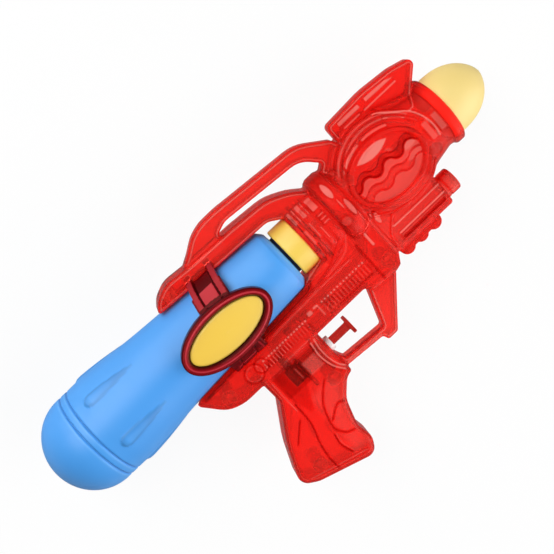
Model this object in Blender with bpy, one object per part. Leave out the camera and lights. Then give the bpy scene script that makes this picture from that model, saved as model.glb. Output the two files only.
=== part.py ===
"""Toy water squirter: two see-through shells round a screw-on bottle, a sprung pump and its hoses.

The gun is drawn in millimetres in its own frame: x runs forward along the barrel, u runs up and w runs
out of the right side. It lies on its left side, so x, u and w become the X, Y and Z of the world.
"""

import math

import bmesh
import bpy
from mathutils import Vector

MM = 0.001

# Fits and walls
WALL = 2.0
SEAM = 0.15  # each half stops this far from the middle plane
FIT = 0.3  # between pieces that touch
BOTTLE_ROOM = 0.8  # round the bottle and the cap
SMALL_EDGE = 2.1  # rounds up to this are plain chamfers

# Bottle, from the neck to the domed end
NECK_TIP, NECK_R, MOUTH_R = 22.4, 12.3, 10.6
SHOULDER_X, SHOULDER_R = 12.2, 14.0
FRONT_X, FRONT_R = 5.5, 20.9
WAIST_X, WAIST_R = -80.0, 26.0
BELLY_X, BELLY_R = -117.0, 29.2
DOME_X, DOME_LENGTH = -137.0, 27.5
GROOVES, GROOVE_W, GROOVE_D = (-134.2, -129.2), 2.6, 1.1
BOTTLE_WALL = 1.4
FLUTES, FLUTE_TURN, FLUTE_REAR, FLUTE_FRONT = 6, 42.0, -122.0, -89.0
FLUTE_WIDE, FLUTE_RISE, FLUTE_SUNK = 8.0, 1.0, 0.8

# Cap
CAP_REAR, CAP_FRONT, CAP_R = 12.8, 24.6, 16.0
SPIGOT_R, SPIGOT_BORE, SPIGOT_TIP = 2.2, 1.3, 37.0
FLANGE_R, FLANGE_W, CAP_NECK_R = 13.0, 2.2, 10.0
WASHER_T = 1.2

# Barrel
COLLAR_R, COLLAR_RIBS, RIB_PITCH = 17.5, 3, 5.0
RING_X0, RING_X1, RING_R = 44.5, 58.2, 23.0
MUZZLE_X, MUZZLE_R, NECK_X, THROAT_R = 130.8, 21.6, 121.0, 19.3
CONE_SEAT_X, CONE_R, CONE_TIP = 125.2, 18.8, 162.0
CONE_WALL, JET_R = 1.8, 0.9
DRUM_X, DRUM_U, DRUM_A, DRUM_B, DRUM_H = 87.0, 1.0, 30.0, 27.5, 19.0
DISC_X, DISC_A, DISC_B, DISC_H = 86.0, 25.5, 19.5, 21.6
DISC_RIM, DISC_SUNK = 2.6, 1.6

# Half widths of the flat pieces of the shell
RAIL_H, BAR_H, HANDLE_H, FIN_H, GRIP_H, GUARD_H, LOBE_H = 12.5, 8.0, 5.0, 5.0, 12.0, 5.0, 6.0
UNDER_H = 9.2

# Box under the barrel, its knob and scallops
KNOB_U, KNOB_R, KNOB_X0, KNOB_X1 = -35.0, 7.25, 99.0, 111.6
LOBES, LOBE_X, LOBE_PITCH, LOBE_R, LOBE_U = 3, 65.7, 10.2, 4.85, -44.6

# Bracket over the bottle and its badge
OVAL_X, OVAL_A, OVAL_B = -39.3, 30.2, 16.4
OVAL_BACK, OVAL_FACE, OVAL_EDGE, FUNNEL = 26.6, 32.5, 1.2, 1.6
BADGE_A, BADGE_B, BADGE_T = 25.0, 11.0, 2.8
POCKET_FLOOR = 28.4
ARM_IN, ARM_T = 26.6, 3.0
ARM_X0, ARM_X1, POST_W, ARM_LEAN = -45.0, -24.5, 4.0, 3.0
LEDGE_TURN, POST_TURN, WEB_T = (20.0, 50.0), (48.0, 77.0), 1.2
FOOT_X0, FOOT_X1, FOOT_TURN = -52.0, -29.0, (-66.0, -20.0)

# Pump, trigger and spring, on their own line under the rail
PUMP_U, PUMP_REAR, PUMP_FRONT = -56.0, -35.0, -8.4
BORE_R, PUMP_WALL, PUMP_END = 4.25, 1.55, 2.0
PUMP_R = BORE_R + PUMP_WALL
GLAND_R, GLAND_FRONT = 4.6, -3.0
STEM_R, ROD_R, STROKE = 2.6, 1.6, 10.0
BAR_X = GLAND_FRONT + STROKE + 3.0
BAR_T, BAR_TALL, BAR_WIDE = 2.2, 10.6, 9.0
PISTON_FRONT, PISTON_T, RING_WIRE = -13.0, 4.0, 0.7
PISTON_R = BORE_R - FIT
SPRING_R, SPRING_WIRE, SPRING_TURNS = 2.9, 0.35, 6.0
PORT_X, PORT_W, PORT_TOP = -31.0, 3.7, -43.0

# Hoses and check valves
HOSE_R, HOSE_BORE = 3.4, 2.75
LINE_U, LINE_W = -31.5, 4.5
INLET_X, OUTLET_X, VALVE_R, VALVE_BODY, VALVE_STUB = -10.0, 106.0, 4.0, 8.0, 5.0
BALL_R, SEAT_R, SEAT_DEEP, CHAMBER_R, LIFT = 2.0, 1.3, 0.8, 2.5, 1.2

# Screws: place along x and u, and how far out of the middle the head sits
SCREWS = (
    (112.0, -12.0, 9.5),
    (62.8, 11.0, 9.5),
    (52.0, -41.0, 9.0),
    (12.0, -39.7, 9.0),
    (-66.0, -35.0, 9.0),
    (-50.0, 30.2, 5.2),
    (-16.0, -70.0, 8.5),
    (-57.0, -103.0, 8.5),
)
HEAD_R, HEAD_T, SHANK_R, SCREW_BITE = 2.4, 1.7, 1.15, 4.2
BOSS_R = 4.3

RED = ("red_clear", (0.80, 0.02, 0.015), 0.25)
BLUE = ("blue_bottle", (0.11, 0.42, 0.95), 0.4)
YELLOW = ("yellow", (0.95, 0.70, 0.12), 0.4)
CREAM = ("pale_yellow", (0.95, 0.77, 0.30), 0.4)
WHITE = ("white", (0.85, 0.85, 0.83), 0.4)
GREY = ("grey", (0.30, 0.30, 0.32), 0.5)
RUBBER = ("rubber", (0.05, 0.05, 0.05), 0.7)
CLEAR = ("hose_vinyl", (0.70, 0.75, 0.75), 0.3)
STEEL = ("steel", (0.60, 0.60, 0.62), 0.3)


def clear_scene():
    for old in list(bpy.data.objects):
        bpy.data.objects.remove(old, do_unlink=True)


def solid(name, points, faces):
    """A closed mesh object from points in millimetres, with its faces turned outward."""
    mesh = bpy.data.meshes.new(name)
    mesh.from_pydata([Vector(p) * MM for p in points], [], faces)
    work = bmesh.new()
    work.from_mesh(mesh)
    bmesh.ops.recalc_face_normals(work, faces=work.faces)
    work.to_mesh(mesh)
    work.free()
    made = bpy.data.objects.new(name, mesh)
    made.location = ORIGIN * MM
    bpy.context.collection.objects.link(made)
    return made


def paint(made, look):
    """Gives an object its own plain material."""
    title, colour, rough = look
    stuff = bpy.data.materials.get(title) or bpy.data.materials.new(title)
    stuff.use_nodes = True
    shader = stuff.node_tree.nodes["Principled BSDF"]
    shader.inputs["Base Color"].default_value = (*colour, 1.0)
    shader.inputs["Roughness"].default_value = rough
    shader.inputs["Metallic"].default_value = 1.0 if title == "steel" else 0.0
    made.data.materials.clear()
    made.data.materials.append(stuff)
    return made


def combine(made, other, how):
    """Boolean of two solids into the first one. The second is used up."""
    step = made.modifiers.new("step", "BOOLEAN")
    step.operation = how
    step.solver = "EXACT"
    step.object = other
    graph = bpy.context.evaluated_depsgraph_get()
    mesh = bpy.data.meshes.new_from_object(made.evaluated_get(graph))
    made.modifiers.clear()
    made.data = mesh
    bpy.data.objects.remove(other, do_unlink=True)
    return made


def tidy(made):
    """Joins the flat pieces of a face that cutting has split."""
    work = bmesh.new()
    work.from_mesh(made.data)
    bmesh.ops.remove_doubles(work, verts=work.verts, dist=0.01 * MM)
    bmesh.ops.dissolve_limit(work, angle_limit=math.radians(0.4), verts=work.verts, edges=work.edges)
    work.to_mesh(made.data)
    work.free()
    return made


def join(made, *others):
    for other in others:
        combine(made, other, "UNION")
    return made


def cut(made, *others):
    for other in others:
        combine(made, other, "DIFFERENCE")
    return made


def copy(made, name):
    twin = made.copy()
    twin.data = made.data.copy()
    twin.name = name
    bpy.context.collection.objects.link(twin)
    return twin


def mirror(made, name):
    """The same solid on the other side of the middle plane."""
    twin = copy(made, name)
    work = bmesh.new()
    work.from_mesh(twin.data)
    for v in work.verts:
        v.co.z = -v.co.z
    bmesh.ops.reverse_faces(work, faces=work.faces)
    work.to_mesh(twin.data)
    work.free()
    return twin


def loft(name, rings, ring_closed=False):
    """Skins closed rings of equal length, with flat ends or joined end to end."""
    size = len(rings[0])
    points = [p for ring in rings for p in ring]
    faces = []
    for k in range(len(rings) if ring_closed else len(rings) - 1):
        a, b = k * size, (k + 1) % len(rings) * size
        for i in range(size):
            j = (i + 1) % size
            faces.append((a + i, a + j, b + j, b + i))
    if not ring_closed:
        faces.append(tuple(range(size)))
        faces.append(tuple(range(len(points) - size, len(points))))
    return solid(name, points, faces)


def rounded(corners, inset=0.0):
    """Outline from (x, u, radius) corners run anticlockwise, moved inward by inset."""
    count = len(corners)
    ways = []
    for i in range(count):
        a, b = corners[i], corners[(i + 1) % count]
        ways.append((Vector(b[:2]) - Vector(a[:2])).normalized())
    moved = []
    for i, corner in enumerate(corners):
        before, after = ways[i - 1], ways[i]
        inward = Vector((-before.y, before.x)) + Vector((-after.y, after.x))
        inward /= 1 + before.dot(after)
        moved.append(Vector(corner[:2]) + inset * inward)
    points = []
    for i, corner in enumerate(corners):
        before, after, here = ways[i - 1], ways[i], moved[i]
        turn = math.atan2(before.x * after.y - before.y * after.x, before.dot(after))
        if not corner[2] or abs(turn) < 0.02:
            points.append(here)
            continue
        radius = max(corner[2] - math.copysign(inset, turn), 0.3)
        room = 0.48 * min((here - moved[i - 1]).length, (moved[(i + 1) % count] - here).length)
        reach = min(radius * math.tan(abs(turn) / 2), room)
        radius = reach / math.tan(abs(turn) / 2)
        side = Vector((-before.y, before.x)) * math.copysign(radius, turn)
        centre = here - before * reach + side
        steps = max(1, math.ceil(abs(turn) / math.radians(38)))
        for k in range(steps + 1):
            angle = turn * k / steps
            spoke = -side
            points.append(centre + Vector((
                spoke.x * math.cos(angle) - spoke.y * math.sin(angle),
                spoke.x * math.sin(angle) + spoke.y * math.cos(angle),
            )))
    return points


def oval(x, u, a, b, count=26):
    turns = [2 * math.pi * k / count for k in range(count)]
    return [Vector((x + a * math.cos(t), u + b * math.sin(t))) for t in turns]


def edge_steps(edge):
    """(how far in, how far down) along a quarter round of radius edge, or a chamfer if it is small."""
    steps = 2 if edge > SMALL_EDGE else 1
    turns = [math.pi / 2 * k / steps for k in range(steps + 1)]
    return [(edge * (1 - math.cos(t)), edge * (1 - math.sin(t))) for t in turns]


def slab(name, corners, high, edge=0.0, inset=0.0, low=-3.0):
    """A flat piece between w = low and w = high with a rounded upper edge."""
    rings = [[(p.x, p.y, low) for p in rounded(corners, inset)]]
    for inward, down in edge_steps(edge) if edge else [(0.0, 0.0)]:
        rings.append([(p.x, p.y, high - down) for p in rounded(corners, inset + inward)])
    return loft(name, rings)


def plate(name, x, u, a, b, low, high, edge=0.0):
    """An oval plate with a rounded upper edge."""
    rings = [[(p.x, p.y, low) for p in oval(x, u, a, b)]]
    for inward, down in edge_steps(edge) if edge else [(0.0, 0.0)]:
        rings.append([(p.x, p.y, high - down) for p in oval(x, u, a - inward, b - inward)])
    return loft(name, rings)


def spin(name, profile, u=0.0, w=0.0, count=22, flat=None):
    """Turns (x, radius) about a line along x. A profile that doesn't end on the line is a closed loop."""
    flat = flat or [1.0] * len(profile)
    rings = []
    for (x, r), squash in zip(profile, flat):
        turns = [2 * math.pi * (k + 0.5) / count for k in range(count)]
        rings.append([(x, u + r * math.cos(t), w + squash * r * math.sin(t)) for t in turns])
    if profile[0][1] and profile[-1][1]:
        return loft(name, rings, True)
    points, faces, rows = [], [], []
    for (x, r), ring in zip(profile, rings):
        ring = ring if r else [(x, u, w)]
        rows.append(range(len(points), len(points) + len(ring)))
        points += ring
    for a, b in zip(rows, rows[1:]):
        for k in range(count):
            j = (k + 1) % count
            corners = (a[k % len(a)], a[j % len(a)], b[j % len(b)], b[k % len(b)])
            faces.append(tuple(dict.fromkeys(corners)))
    return solid(name, points, faces)


def rod(name, x0, x1, r, u=0.0, w=0.0, count=20):
    return spin(name, [(x0, 0), (x0, r), (x1, r), (x1, 0)], u, w, count)


def post(name, x, u, low, high, r, count=8):
    """A round column across the gun."""
    rings = []
    for w in (low, high):
        rings.append([(p.x, p.y, w) for p in oval(x, u, r, r, count)])
    return loft(name, rings)


def riser(name, x, w, low, high, r, count=12):
    """A round column that stands up from the pump."""
    rings = []
    for u in (low, high):
        rings.append([(p.x, u, p.y) for p in oval(x, w, r, r, count)])
    return loft(name, rings)


def brick(name, x0, x1, u0, u1, w0, w1):
    corners = [(x0, u0), (x1, u0), (x1, u1), (x0, u1)]
    return loft(name, [[(x, u, w) for x, u in corners] for w in (w0, w1)])


def smooth(path, steps):
    """A curve through the points of a path."""
    knots = [Vector(p) for p in path]
    knots = [2 * knots[0] - knots[1], *knots, 2 * knots[-1] - knots[-2]]
    points = []
    for a, b, c, d in zip(knots, knots[1:], knots[2:], knots[3:]):
        for k in range(steps):
            t = k / steps
            points.append(0.5 * (2 * b + (c - a) * t + (2 * a - 5 * b + 4 * c - d) * t * t
                                 + (3 * b - 3 * c + d - a) * t ** 3))
    return [*points, knots[-2]]


def sweep(name, points, radius, bore=0.0, count=6):
    """A rod along points, or a tube if it has a bore."""
    side = Vector((0.0, 0.0, 1.0))
    outer, inner = [], []
    for i, here in enumerate(points):
        way = (points[min(i + 1, len(points) - 1)] - points[max(i - 1, 0)]).normalized()
        side = (side - way * side.dot(way)).normalized()
        other = way.cross(side)
        spokes = []
        for k in range(count):
            t = 2 * math.pi * k / count
            spokes.append(side * math.cos(t) + other * math.sin(t))
        outer.append([here + radius * s for s in spokes])
        inner.append([here + bore * s for s in spokes])
    if bore:
        return loft(name, outer + inner[::-1], True)
    return loft(name, outer)


def arc_band(name, x0, x1, turn, grow=0.0, lean=0.0, rise=0.0, thick=ARM_T):
    """A strap round the bottle between two angles, measured up from the side of the gun."""
    low, high = (math.radians(t) for t in turn)
    near, far = ARM_IN + rise - grow, ARM_IN + rise + thick + grow
    steps = 5
    rings = []
    for k in range(steps + 1):
        t = low - grow / ARM_IN + (high - low + 2 * grow / ARM_IN) * k / steps
        shift = lean * (t - math.radians(LEDGE_TURN[0])) / math.radians(POST_TURN[1] - LEDGE_TURN[0])
        ring = []
        for x, r in ((x0 - grow, near), (x1 + grow, near), (x1 + grow, far), (x0 - grow, far)):
            ring.append((x + shift, r * math.sin(t), r * math.cos(t)))
        rings.append(ring)
    return loft(name, rings)


def bottle_profile(grow=0.0, grooves=True):
    """(x, radius) of the bottle from its shoulder to its far end, moved outward by grow."""
    belly = BELLY_R + grow
    profile = [(SHOULDER_X + grow, 0), (SHOULDER_X + grow, SHOULDER_R + grow / 2)]
    profile += [(FRONT_X + 3.2 + grow, FRONT_R - 1.2 + grow), (FRONT_X, FRONT_R + grow)]
    profile += [(WAIST_X, WAIST_R + grow), (BELLY_X + 17, belly - 1.2), (BELLY_X, belly)]
    if grooves:
        half = GROOVE_W / 2
        for x in sorted(GROOVES, reverse=True):
            profile += [(x + half, belly), (x + half / 2, belly - GROOVE_D)]
            profile += [(x - half / 2, belly - GROOVE_D), (x - half, belly)]
    for k in range(8):
        t = math.pi / 2 * k / 7
        x = DOME_X - (DOME_LENGTH + grow) * math.sin(t)
        profile.append((x, belly * math.cos(t) if k < 7 else 0))
    return profile


def bottle_radius(x):
    """How far the bottle's wall is from its axis at a place along its body."""
    profile = bottle_profile(0.0, False)[1:-1]
    for (x1, r1), (x0, r0) in zip(profile, profile[1:]):
        if x0 <= x <= x1:
            return r0 + (r1 - r0) * (x - x0) / (x1 - x0)
    return BELLY_R


def barrel_profile(inset=0.0):
    """(x, radius) and sideways squash of the barrel from the drum to the muzzle."""
    rows = [
        (92.0, 25.0, 0.72),
        (103.0, 24.1, 0.80),
        (111.0, 21.6, 0.90),
        (NECK_X, THROAT_R, 1.0),
    ]
    if not inset:
        rows += [
            (NECK_X + 3.2, 19.9, 1.0),
            (NECK_X + 4.4, MUZZLE_R, 1.0),
            (MUZZLE_X - 1.2, MUZZLE_R, 1.0),
            (MUZZLE_X, MUZZLE_R - 1.2, 1.0),
        ]
    else:
        rows.append((CONE_SEAT_X + 0.5, THROAT_R, 1.0))
    shape = [(x, r - inset) for x, r, _ in rows]
    shape = [(shape[0][0], 0), *shape, (shape[-1][0], 0)]
    squash = [row[2] for row in rows]
    return shape, [squash[0], *squash, squash[-1]]


RAIL = (
    (-79.5, -16.0, 0), (-81.3, -26.5, 3), (-71.6, -39.7, 12), (-62.0, -43.5, 10), (31.0, -43.1, 2),
    (33.5, -47.6, 2.5), (51.5, -48.6, 3), (55.5, -47.4, 2), (60.0, -40.0, 3), (60.0, -10.0, 0),
    (24.4, -10.0, 0), (24.4, -13.6, 0), (9.0, -17.4, 0),
)
GRIP = (
    (-47.8, -36.0, 0), (-47.8, -58.2, 6), (-62.9, -81.0, 40), (-73.4, -104.0, 8), (-64.0, -110.6, 8),
    (-29.0, -122.4, 4), (-23.6, -113.0, 6), (-25.2, -101.5, 10), (-19.5, -85.0, 16), (-10.5, -75.6, 12),
    (-5.6, -74.2, 1.5), (-5.8, -36.0, 0),
)
UNDER = (
    (56.0, -14.0, 0), (56.0, -40.0, 0), (60.5, -43.0, 1.5), (101.8, -43.4, 2), (102.2, -22.0, 0),
    (98.0, -14.0, 0),
)
GUARD = (
    (-8.0, -72.0, 0), (20.6, -74.2, 1.5), (22.2, -78.2, 1.5), (29.2, -78.2, 2), (52.0, -50.5, 2),
    (56.0, -44.0, 0), (34.0, -44.0, 0), (24.6, -70.0, 2), (-3.0, -68.0, 1),
    (-5.4, -62.4, 2), (-8.0, -60.6, 0),
)
FIN = (
    (75.4, 28.5, 2), (80.0, 16.0, 0), (118.0, 13.0, 0), (127.2, 21.8, 4), (138.4, 32.6, 1.2),
    (123.0, 36.6, 20), (103.0, 38.5, 30), (79.0, 37.4, 4), (74.8, 33.2, 4),
)
HANDLE = (
    (-36.0, 27.5, 0), (-7.0, 27.5, 0), (-7.0, 35.6, 2), (0.0, 38.4, 12), (52.6, 34.0, 7), (61.2, 24.4, 1.2),
    (56.0, 20.6, 0), (62.0, 14.0, 0), (78.0, 20.0, 0), (73.0, 30.4, 2), (56.4, 42.0, 17), (0.0, 47.0, 30),
    (-16.0, 46.7, 18),
    (-28.0, 38.6, 16), (-34.5, 35.0, 6),
)
BAR = (
    (-61.8, 26.4, 1.2), (-20.0, 23.6, 20), (17.0, 22.2, 9), (25.5, 16.5, 3), (26.0, 6.0, 0),
    (46.0, 6.0, 0), (46.0, 18.6, 0), (37.0, 25.8, 20), (24.5, 31.9, 16), (0.0, 33.8, 30), (-32.0, 34.8, 20),
    (-47.5, 36.2, 8), (-56.5, 32.4, 6),
)


# The middle of the gun's outline goes to the world's origin, with the left bezel's rim on the ground
TOP = max(p.y for p in rounded(HANDLE))
BOTTOM = min(p.y for p in rounded(GRIP))
ORIGIN = Vector((-(CONE_TIP + DOME_X - DOME_LENGTH) / 2, -(TOP + BOTTOM) / 2, OVAL_FACE))


def collar_profile():
    """The ribbed seat of the cap and the ring in front of it."""
    profile = [(CAP_FRONT - 0.2, 0), (CAP_FRONT - 0.2, COLLAR_R)]
    for k in range(COLLAR_RIBS):
        x = CAP_FRONT + 2.6 + k * RIB_PITCH
        profile += [(x, COLLAR_R), (x + 0.7, COLLAR_R - 1.0), (x + 1.7, COLLAR_R)]
    profile += [(RING_X0, COLLAR_R), (RING_X0, RING_R - 3), (RING_X0 + 1.6, RING_R - 1)]
    profile += [(RING_X0 + 4, RING_R), (RING_X1 - 4, RING_R), (RING_X1 - 1.4, RING_R - 1)]
    return [*profile, (RING_X1, RING_R - 3), (RING_X1 + 4, RING_R - 4), (RING_X1 + 4, 0)]


def collar_hollow():
    rear, inner, ring = CAP_FRONT + FIT + WALL, COLLAR_R - 1.0 - WALL, RING_R - WALL
    profile = [(rear, 0), (rear, inner), (RING_X0 + WALL, inner), (RING_X0 + WALL + 1.4, ring - 0.6)]
    profile += [(RING_X1 - WALL - 1.2, ring - 0.6), (RING_X1 - WALL, ring - 3)]
    return [*profile, (RING_X1 + 6, ring - 4), (RING_X1 + 6, 0)]


def outer_form():
    """Everything that the right shell fills, before it is hollowed."""
    form = slab("outer", RAIL, RAIL_H, 2.0, low=-4.0)
    join(form, slab("grip", GRIP, GRIP_H, 4.5, low=-3.5))
    join(form, slab("guard", GUARD, GUARD_H, 1.2, low=-3.0))
    join(form, slab("bar", BAR, BAR_H, 2.4, low=-2.5))
    join(form, slab("handle", HANDLE, HANDLE_H, 1.6, low=-2.0))
    join(form, spin("collar", collar_profile()))
    join(form, plate("drum", DRUM_X, DRUM_U, DRUM_A, DRUM_B, -5.0, DRUM_H, 4.0))
    shape, squash = barrel_profile()
    join(form, spin("barrel", shape, flat=squash))
    join(form, slab("fin", FIN, FIN_H, 1.4, low=-1.8))
    join(form, plate("disc", DISC_X, DRUM_U, DISC_A, DISC_B, -4.5, DISC_H, 1.2))
    cut(form, plate("dish", DISC_X, DRUM_U, DISC_A - DISC_RIM, DISC_B - DISC_RIM,
                    DISC_H - DISC_SUNK, DISC_H + 5))
    join(form, slab("under", UNDER, UNDER_H, 2.0, low=-2.3))
    knob = [(KNOB_X0, 0), (KNOB_X0, KNOB_R), (KNOB_X1 - 1.5, KNOB_R)]
    knob += [(KNOB_X1, KNOB_R - 1.5), (KNOB_X1, 0)]
    join(form, spin("knob", knob, KNOB_U, count=16))
    last = LOBE_X + (LOBES - 1) * LOBE_PITCH
    join(form, brick("between", LOBE_X, last, LOBE_U - LOBE_R + 2, LOBE_U + 4, -2.1, LOBE_H - 0.2))
    for k in range(LOBES):
        join(form, post("lobe", LOBE_X + k * LOBE_PITCH, LOBE_U, -2.2, LOBE_H, LOBE_R, 10))
    return form


def hollow_form():
    """What is taken out of the outer form to leave walls."""
    room = slab("hollow", RAIL, RAIL_H - WALL, 0.0, WALL, -6.0)
    cut(room, spin("cradle", bottle_profile(BOTTLE_ROOM + WALL, False), count=20))
    join(room, slab("in_grip", GRIP, GRIP_H - WALL, 3.0, WALL, -6.5))
    join(room, slab("in_bar", BAR, BAR_H - WALL, 0.0, WALL, -7.0))
    join(room, slab("in_handle", HANDLE, HANDLE_H - WALL, 0.0, WALL, -7.5))
    join(room, slab("in_fin", FIN, FIN_H - WALL, 0.0, WALL, -8.0))
    join(room, spin("in_collar", collar_hollow(), count=18))
    join(room, plate("in_drum", DRUM_X, DRUM_U, DRUM_A - WALL, DRUM_B - WALL, -8.5, DRUM_H - WALL, 2.5))
    shape, squash = barrel_profile(WALL)
    join(room, spin("in_barrel", shape, flat=squash, count=18))
    join(room, slab("in_under", UNDER, UNDER_H - WALL, 0.0, WALL, -9.0))
    return room


def leave_supports(room):
    """Takes screw posts and the neck's stop out of the hollow, so that they stay standing."""
    for x, u, _ in SCREWS:
        cut(room, post("boss", x, u, -12.0, 30.0, BOSS_R))
    flange_end = CAP_FRONT + FIT + WALL + FIT + FLANGE_W + FIT
    return cut(room, rod("stop", flange_end, flange_end + 1.6, COLLAR_R + 1.7))


def shell():
    """The right shell without its screw holes."""
    body = cut(outer_form(), brick("half", -200, 200, -200, 200, -60, SEAM))
    cut(body, leave_supports(hollow_form()))
    for x in (PUMP_FRONT - 4.5, PUMP_REAR + 9):
        join(body, brick("rib", x, x + 1.6, PUMP_U - 10, PUMP_U + 9, SEAM, GRIP_H - WALL / 2))
    room = bottle_profile(BOTTLE_ROOM, False)[2:]
    seat, flange = CAP_FRONT + FIT, CAP_FRONT + FIT + WALL + FIT
    hose, neck, cap = HOSE_R + FIT, CAP_NECK_R + FIT, CAP_R + FIT
    way = [(SPIGOT_TIP, 0), (SPIGOT_TIP, hose), (flange + 1, hose), (flange + 1, neck)]
    way += [(seat, neck), (seat, cap), (SHOULDER_X, cap)]
    cut(body, spin("tank_room", way + room))
    cut(body, rod("cone_seat", CONE_SEAT_X - FIT, MUZZLE_X + 5, CONE_R + FIT))
    cut(body, rod("pump_room", PUMP_REAR - 2, PUMP_FRONT, PUMP_R + FIT, PUMP_U))
    cut(body, rod("gland_way", PUMP_FRONT - 3, 0.0, GLAND_R + FIT, PUMP_U))
    for band in arms(FIT):
        cut(body, band)
    return tidy(body)


def arms(grow=0.0):
    """The straps that tie the bracket to the bar above and the rail below."""
    middle = (ARM_X0 + ARM_X1) / 2
    yield arc_band("ledge", ARM_X0, ARM_X1, LEDGE_TURN, grow, ARM_LEAN)
    for side in (-1, 1):
        at = middle + side * (ARM_X1 - ARM_X0 - POST_W - 2) / 2
        yield arc_band("arm_post", at - POST_W / 2, at + POST_W / 2, POST_TURN, grow, ARM_LEAN)
    web = (LEDGE_TURN[1] - 3, POST_TURN[1] - 2)
    yield arc_band("web", ARM_X0 + POST_W, ARM_X1 - POST_W, web, grow, ARM_LEAN, 0.4, WEB_T)
    yield arc_band("foot", FOOT_X0, FOOT_X1, FOOT_TURN, grow)


def bracket():
    """The oval bezel, its straps and the pocket for the badge, whose mouth widens outward."""
    made = plate("bracket", OVAL_X, 0.0, OVAL_A, OVAL_B, OVAL_BACK, OVAL_FACE, OVAL_EDGE)
    for band in arms():
        join(made, band)
    rings = []
    for w, out in ((POCKET_FLOOR, 0.0), (POCKET_FLOOR + 2.2, 0.0), (OVAL_FACE + 0.4, FUNNEL)):
        ring = oval(OVAL_X, 0.0, BADGE_A + FIT + out, BADGE_B + FIT + out)
        rings.append([(p.x, p.y, w) for p in ring])
    return cut(made, loft("pocket", rings))


def badge():
    floor = POCKET_FLOOR + FIT
    return plate("badge", OVAL_X, 0.0, BADGE_A, BADGE_B, floor, floor + BADGE_T, 1.0)


def screw_holes(body, side):
    """Pilot holes in the right half, clear holes and head wells in the left one."""
    for x, u, seat in SCREWS:
        if side > 0:
            cut(body, post("pilot", x, u, -1.0, SCREW_BITE + 1.0, SHANK_R + FIT, 8))
        else:
            cut(body, post("clear", x, u, -seat - 1, 1.0, SHANK_R + FIT, 8))
            cut(body, post("well", x, u, -40.0, -seat, HEAD_R + FIT, 10))


def make_screws():
    for n, (x, u, seat) in enumerate(SCREWS, 1):
        made = post(f"screw_{n}", x, u, -seat - HEAD_T, -seat - 0.05, HEAD_R, 10)
        join(made, post("shank", x, u, -seat - HEAD_T / 2, SCREW_BITE, SHANK_R, 8))
        paint(made, STEEL)


def make_bottle():
    body = spin("tank_bottle", bottle_profile(), count=28)
    for k in range(FLUTES):
        join(body, flute(math.radians(FLUTE_TURN) + 2 * math.pi * k / FLUTES))
    join(body, rod("neck", SHOULDER_X - 2, NECK_TIP, NECK_R, count=24))
    cut(body, spin("inside", bottle_profile(-BOTTLE_WALL, False), count=16))
    cut(body, rod("mouth", SHOULDER_X - 6, NECK_TIP + 2, MOUTH_R, count=24))
    paint(body, BLUE)


def flute(turn):
    """A drop-shaped rib on the bottle, blunt at the rear and fading toward the front."""
    rows = ((0.0, 0.3), (0.05, 0.8), (0.13, 1.0), (0.45, 0.85), (0.8, 0.5), (1.0, 0.15))
    rings = []
    for t, share in rows:
        x = FLUTE_REAR + t * (FLUTE_FRONT - FLUTE_REAR)
        ring = []
        for j in range(10):
            a = 2 * math.pi * j / 10
            away = bottle_radius(x) - FLUTE_SUNK + (FLUTE_SUNK + FLUTE_RISE * share) * math.cos(a)
            along = FLUTE_WIDE / 2 * share * math.sin(a)
            ring.append((x, away * math.cos(turn) - along * math.sin(turn),
                         away * math.sin(turn) + along * math.cos(turn)))
        rings.append(ring)
    return loft("flute", rings)


def make_tank_fittings():
    end = NECK_TIP + FIT + WASHER_T + FIT
    lip = CAP_FRONT + FIT + WALL + FIT
    cap = [
        (CAP_REAR, NECK_R + FIT), (CAP_REAR, CAP_R - 0.6), (CAP_REAR + 0.6, CAP_R),
        (CAP_FRONT - 0.6, CAP_R), (CAP_FRONT, CAP_R - 0.6), (CAP_FRONT, CAP_NECK_R),
        (lip, CAP_NECK_R), (lip, FLANGE_R), (lip + FLANGE_W, FLANGE_R), (lip + FLANGE_W, SPIGOT_R),
        (SPIGOT_TIP, SPIGOT_R), (SPIGOT_TIP, SPIGOT_BORE), (end - 8, SPIGOT_BORE), (end - 8, SPIGOT_R),
        (end, SPIGOT_R), (end, NECK_R + FIT),
    ]
    paint(spin("tank_cap", cap, count=22), YELLOW)
    low, high = NECK_TIP + FIT, NECK_TIP + FIT + WASHER_T
    seal = [(low, MOUTH_R), (low, NECK_R), (high, NECK_R), (high, MOUTH_R)]
    paint(spin("tank_washer", seal, count=20), RUBBER)
    path = [(end - FIT, 0, 0), (0, 0, 0), (-50, -3.5, 0), (-110, -14, 0), (-150, -17, 0)]
    paint(sweep("dip_tube", smooth(path, 3), HOSE_R, HOSE_BORE), CLEAR)


def make_pump():
    end = PUMP_REAR + PUMP_END
    cup = [(PUMP_REAR, 0), (PUMP_REAR, PUMP_R), (PUMP_FRONT, PUMP_R)]
    cup += [(PUMP_FRONT, BORE_R), (end, BORE_R), (end, 0)]
    body = spin("pump_cylinder", cup, PUMP_U, count=20)
    for w in (-PORT_W, PORT_W):
        port = riser("port", PORT_X, w, PUMP_U + 1.3, PORT_TOP, SPIGOT_R, 14)
        cut(port, rod("bore", PORT_X - 4, PORT_X + 4, BORE_R + 0.4, PUMP_U, count=30))
        join(body, port)
    for w in (-PORT_W, PORT_W):
        cut(body, riser("port_bore", PORT_X, w, PUMP_U + 1.9, PORT_TOP + 1, SPIGOT_BORE, 9))
    paint(body, GREY)
    gland = [
        (PUMP_FRONT - 2.6, STEM_R + FIT), (PUMP_FRONT - 2.6, BORE_R - FIT),
        (PUMP_FRONT + FIT, BORE_R - FIT), (PUMP_FRONT + FIT, GLAND_R), (GLAND_FRONT - 0.5, GLAND_R),
        (GLAND_FRONT, GLAND_R - 0.5), (GLAND_FRONT, STEM_R + FIT),
    ]
    paint(spin("pump_gland", gland, PUMP_U, count=18), WHITE)


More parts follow.
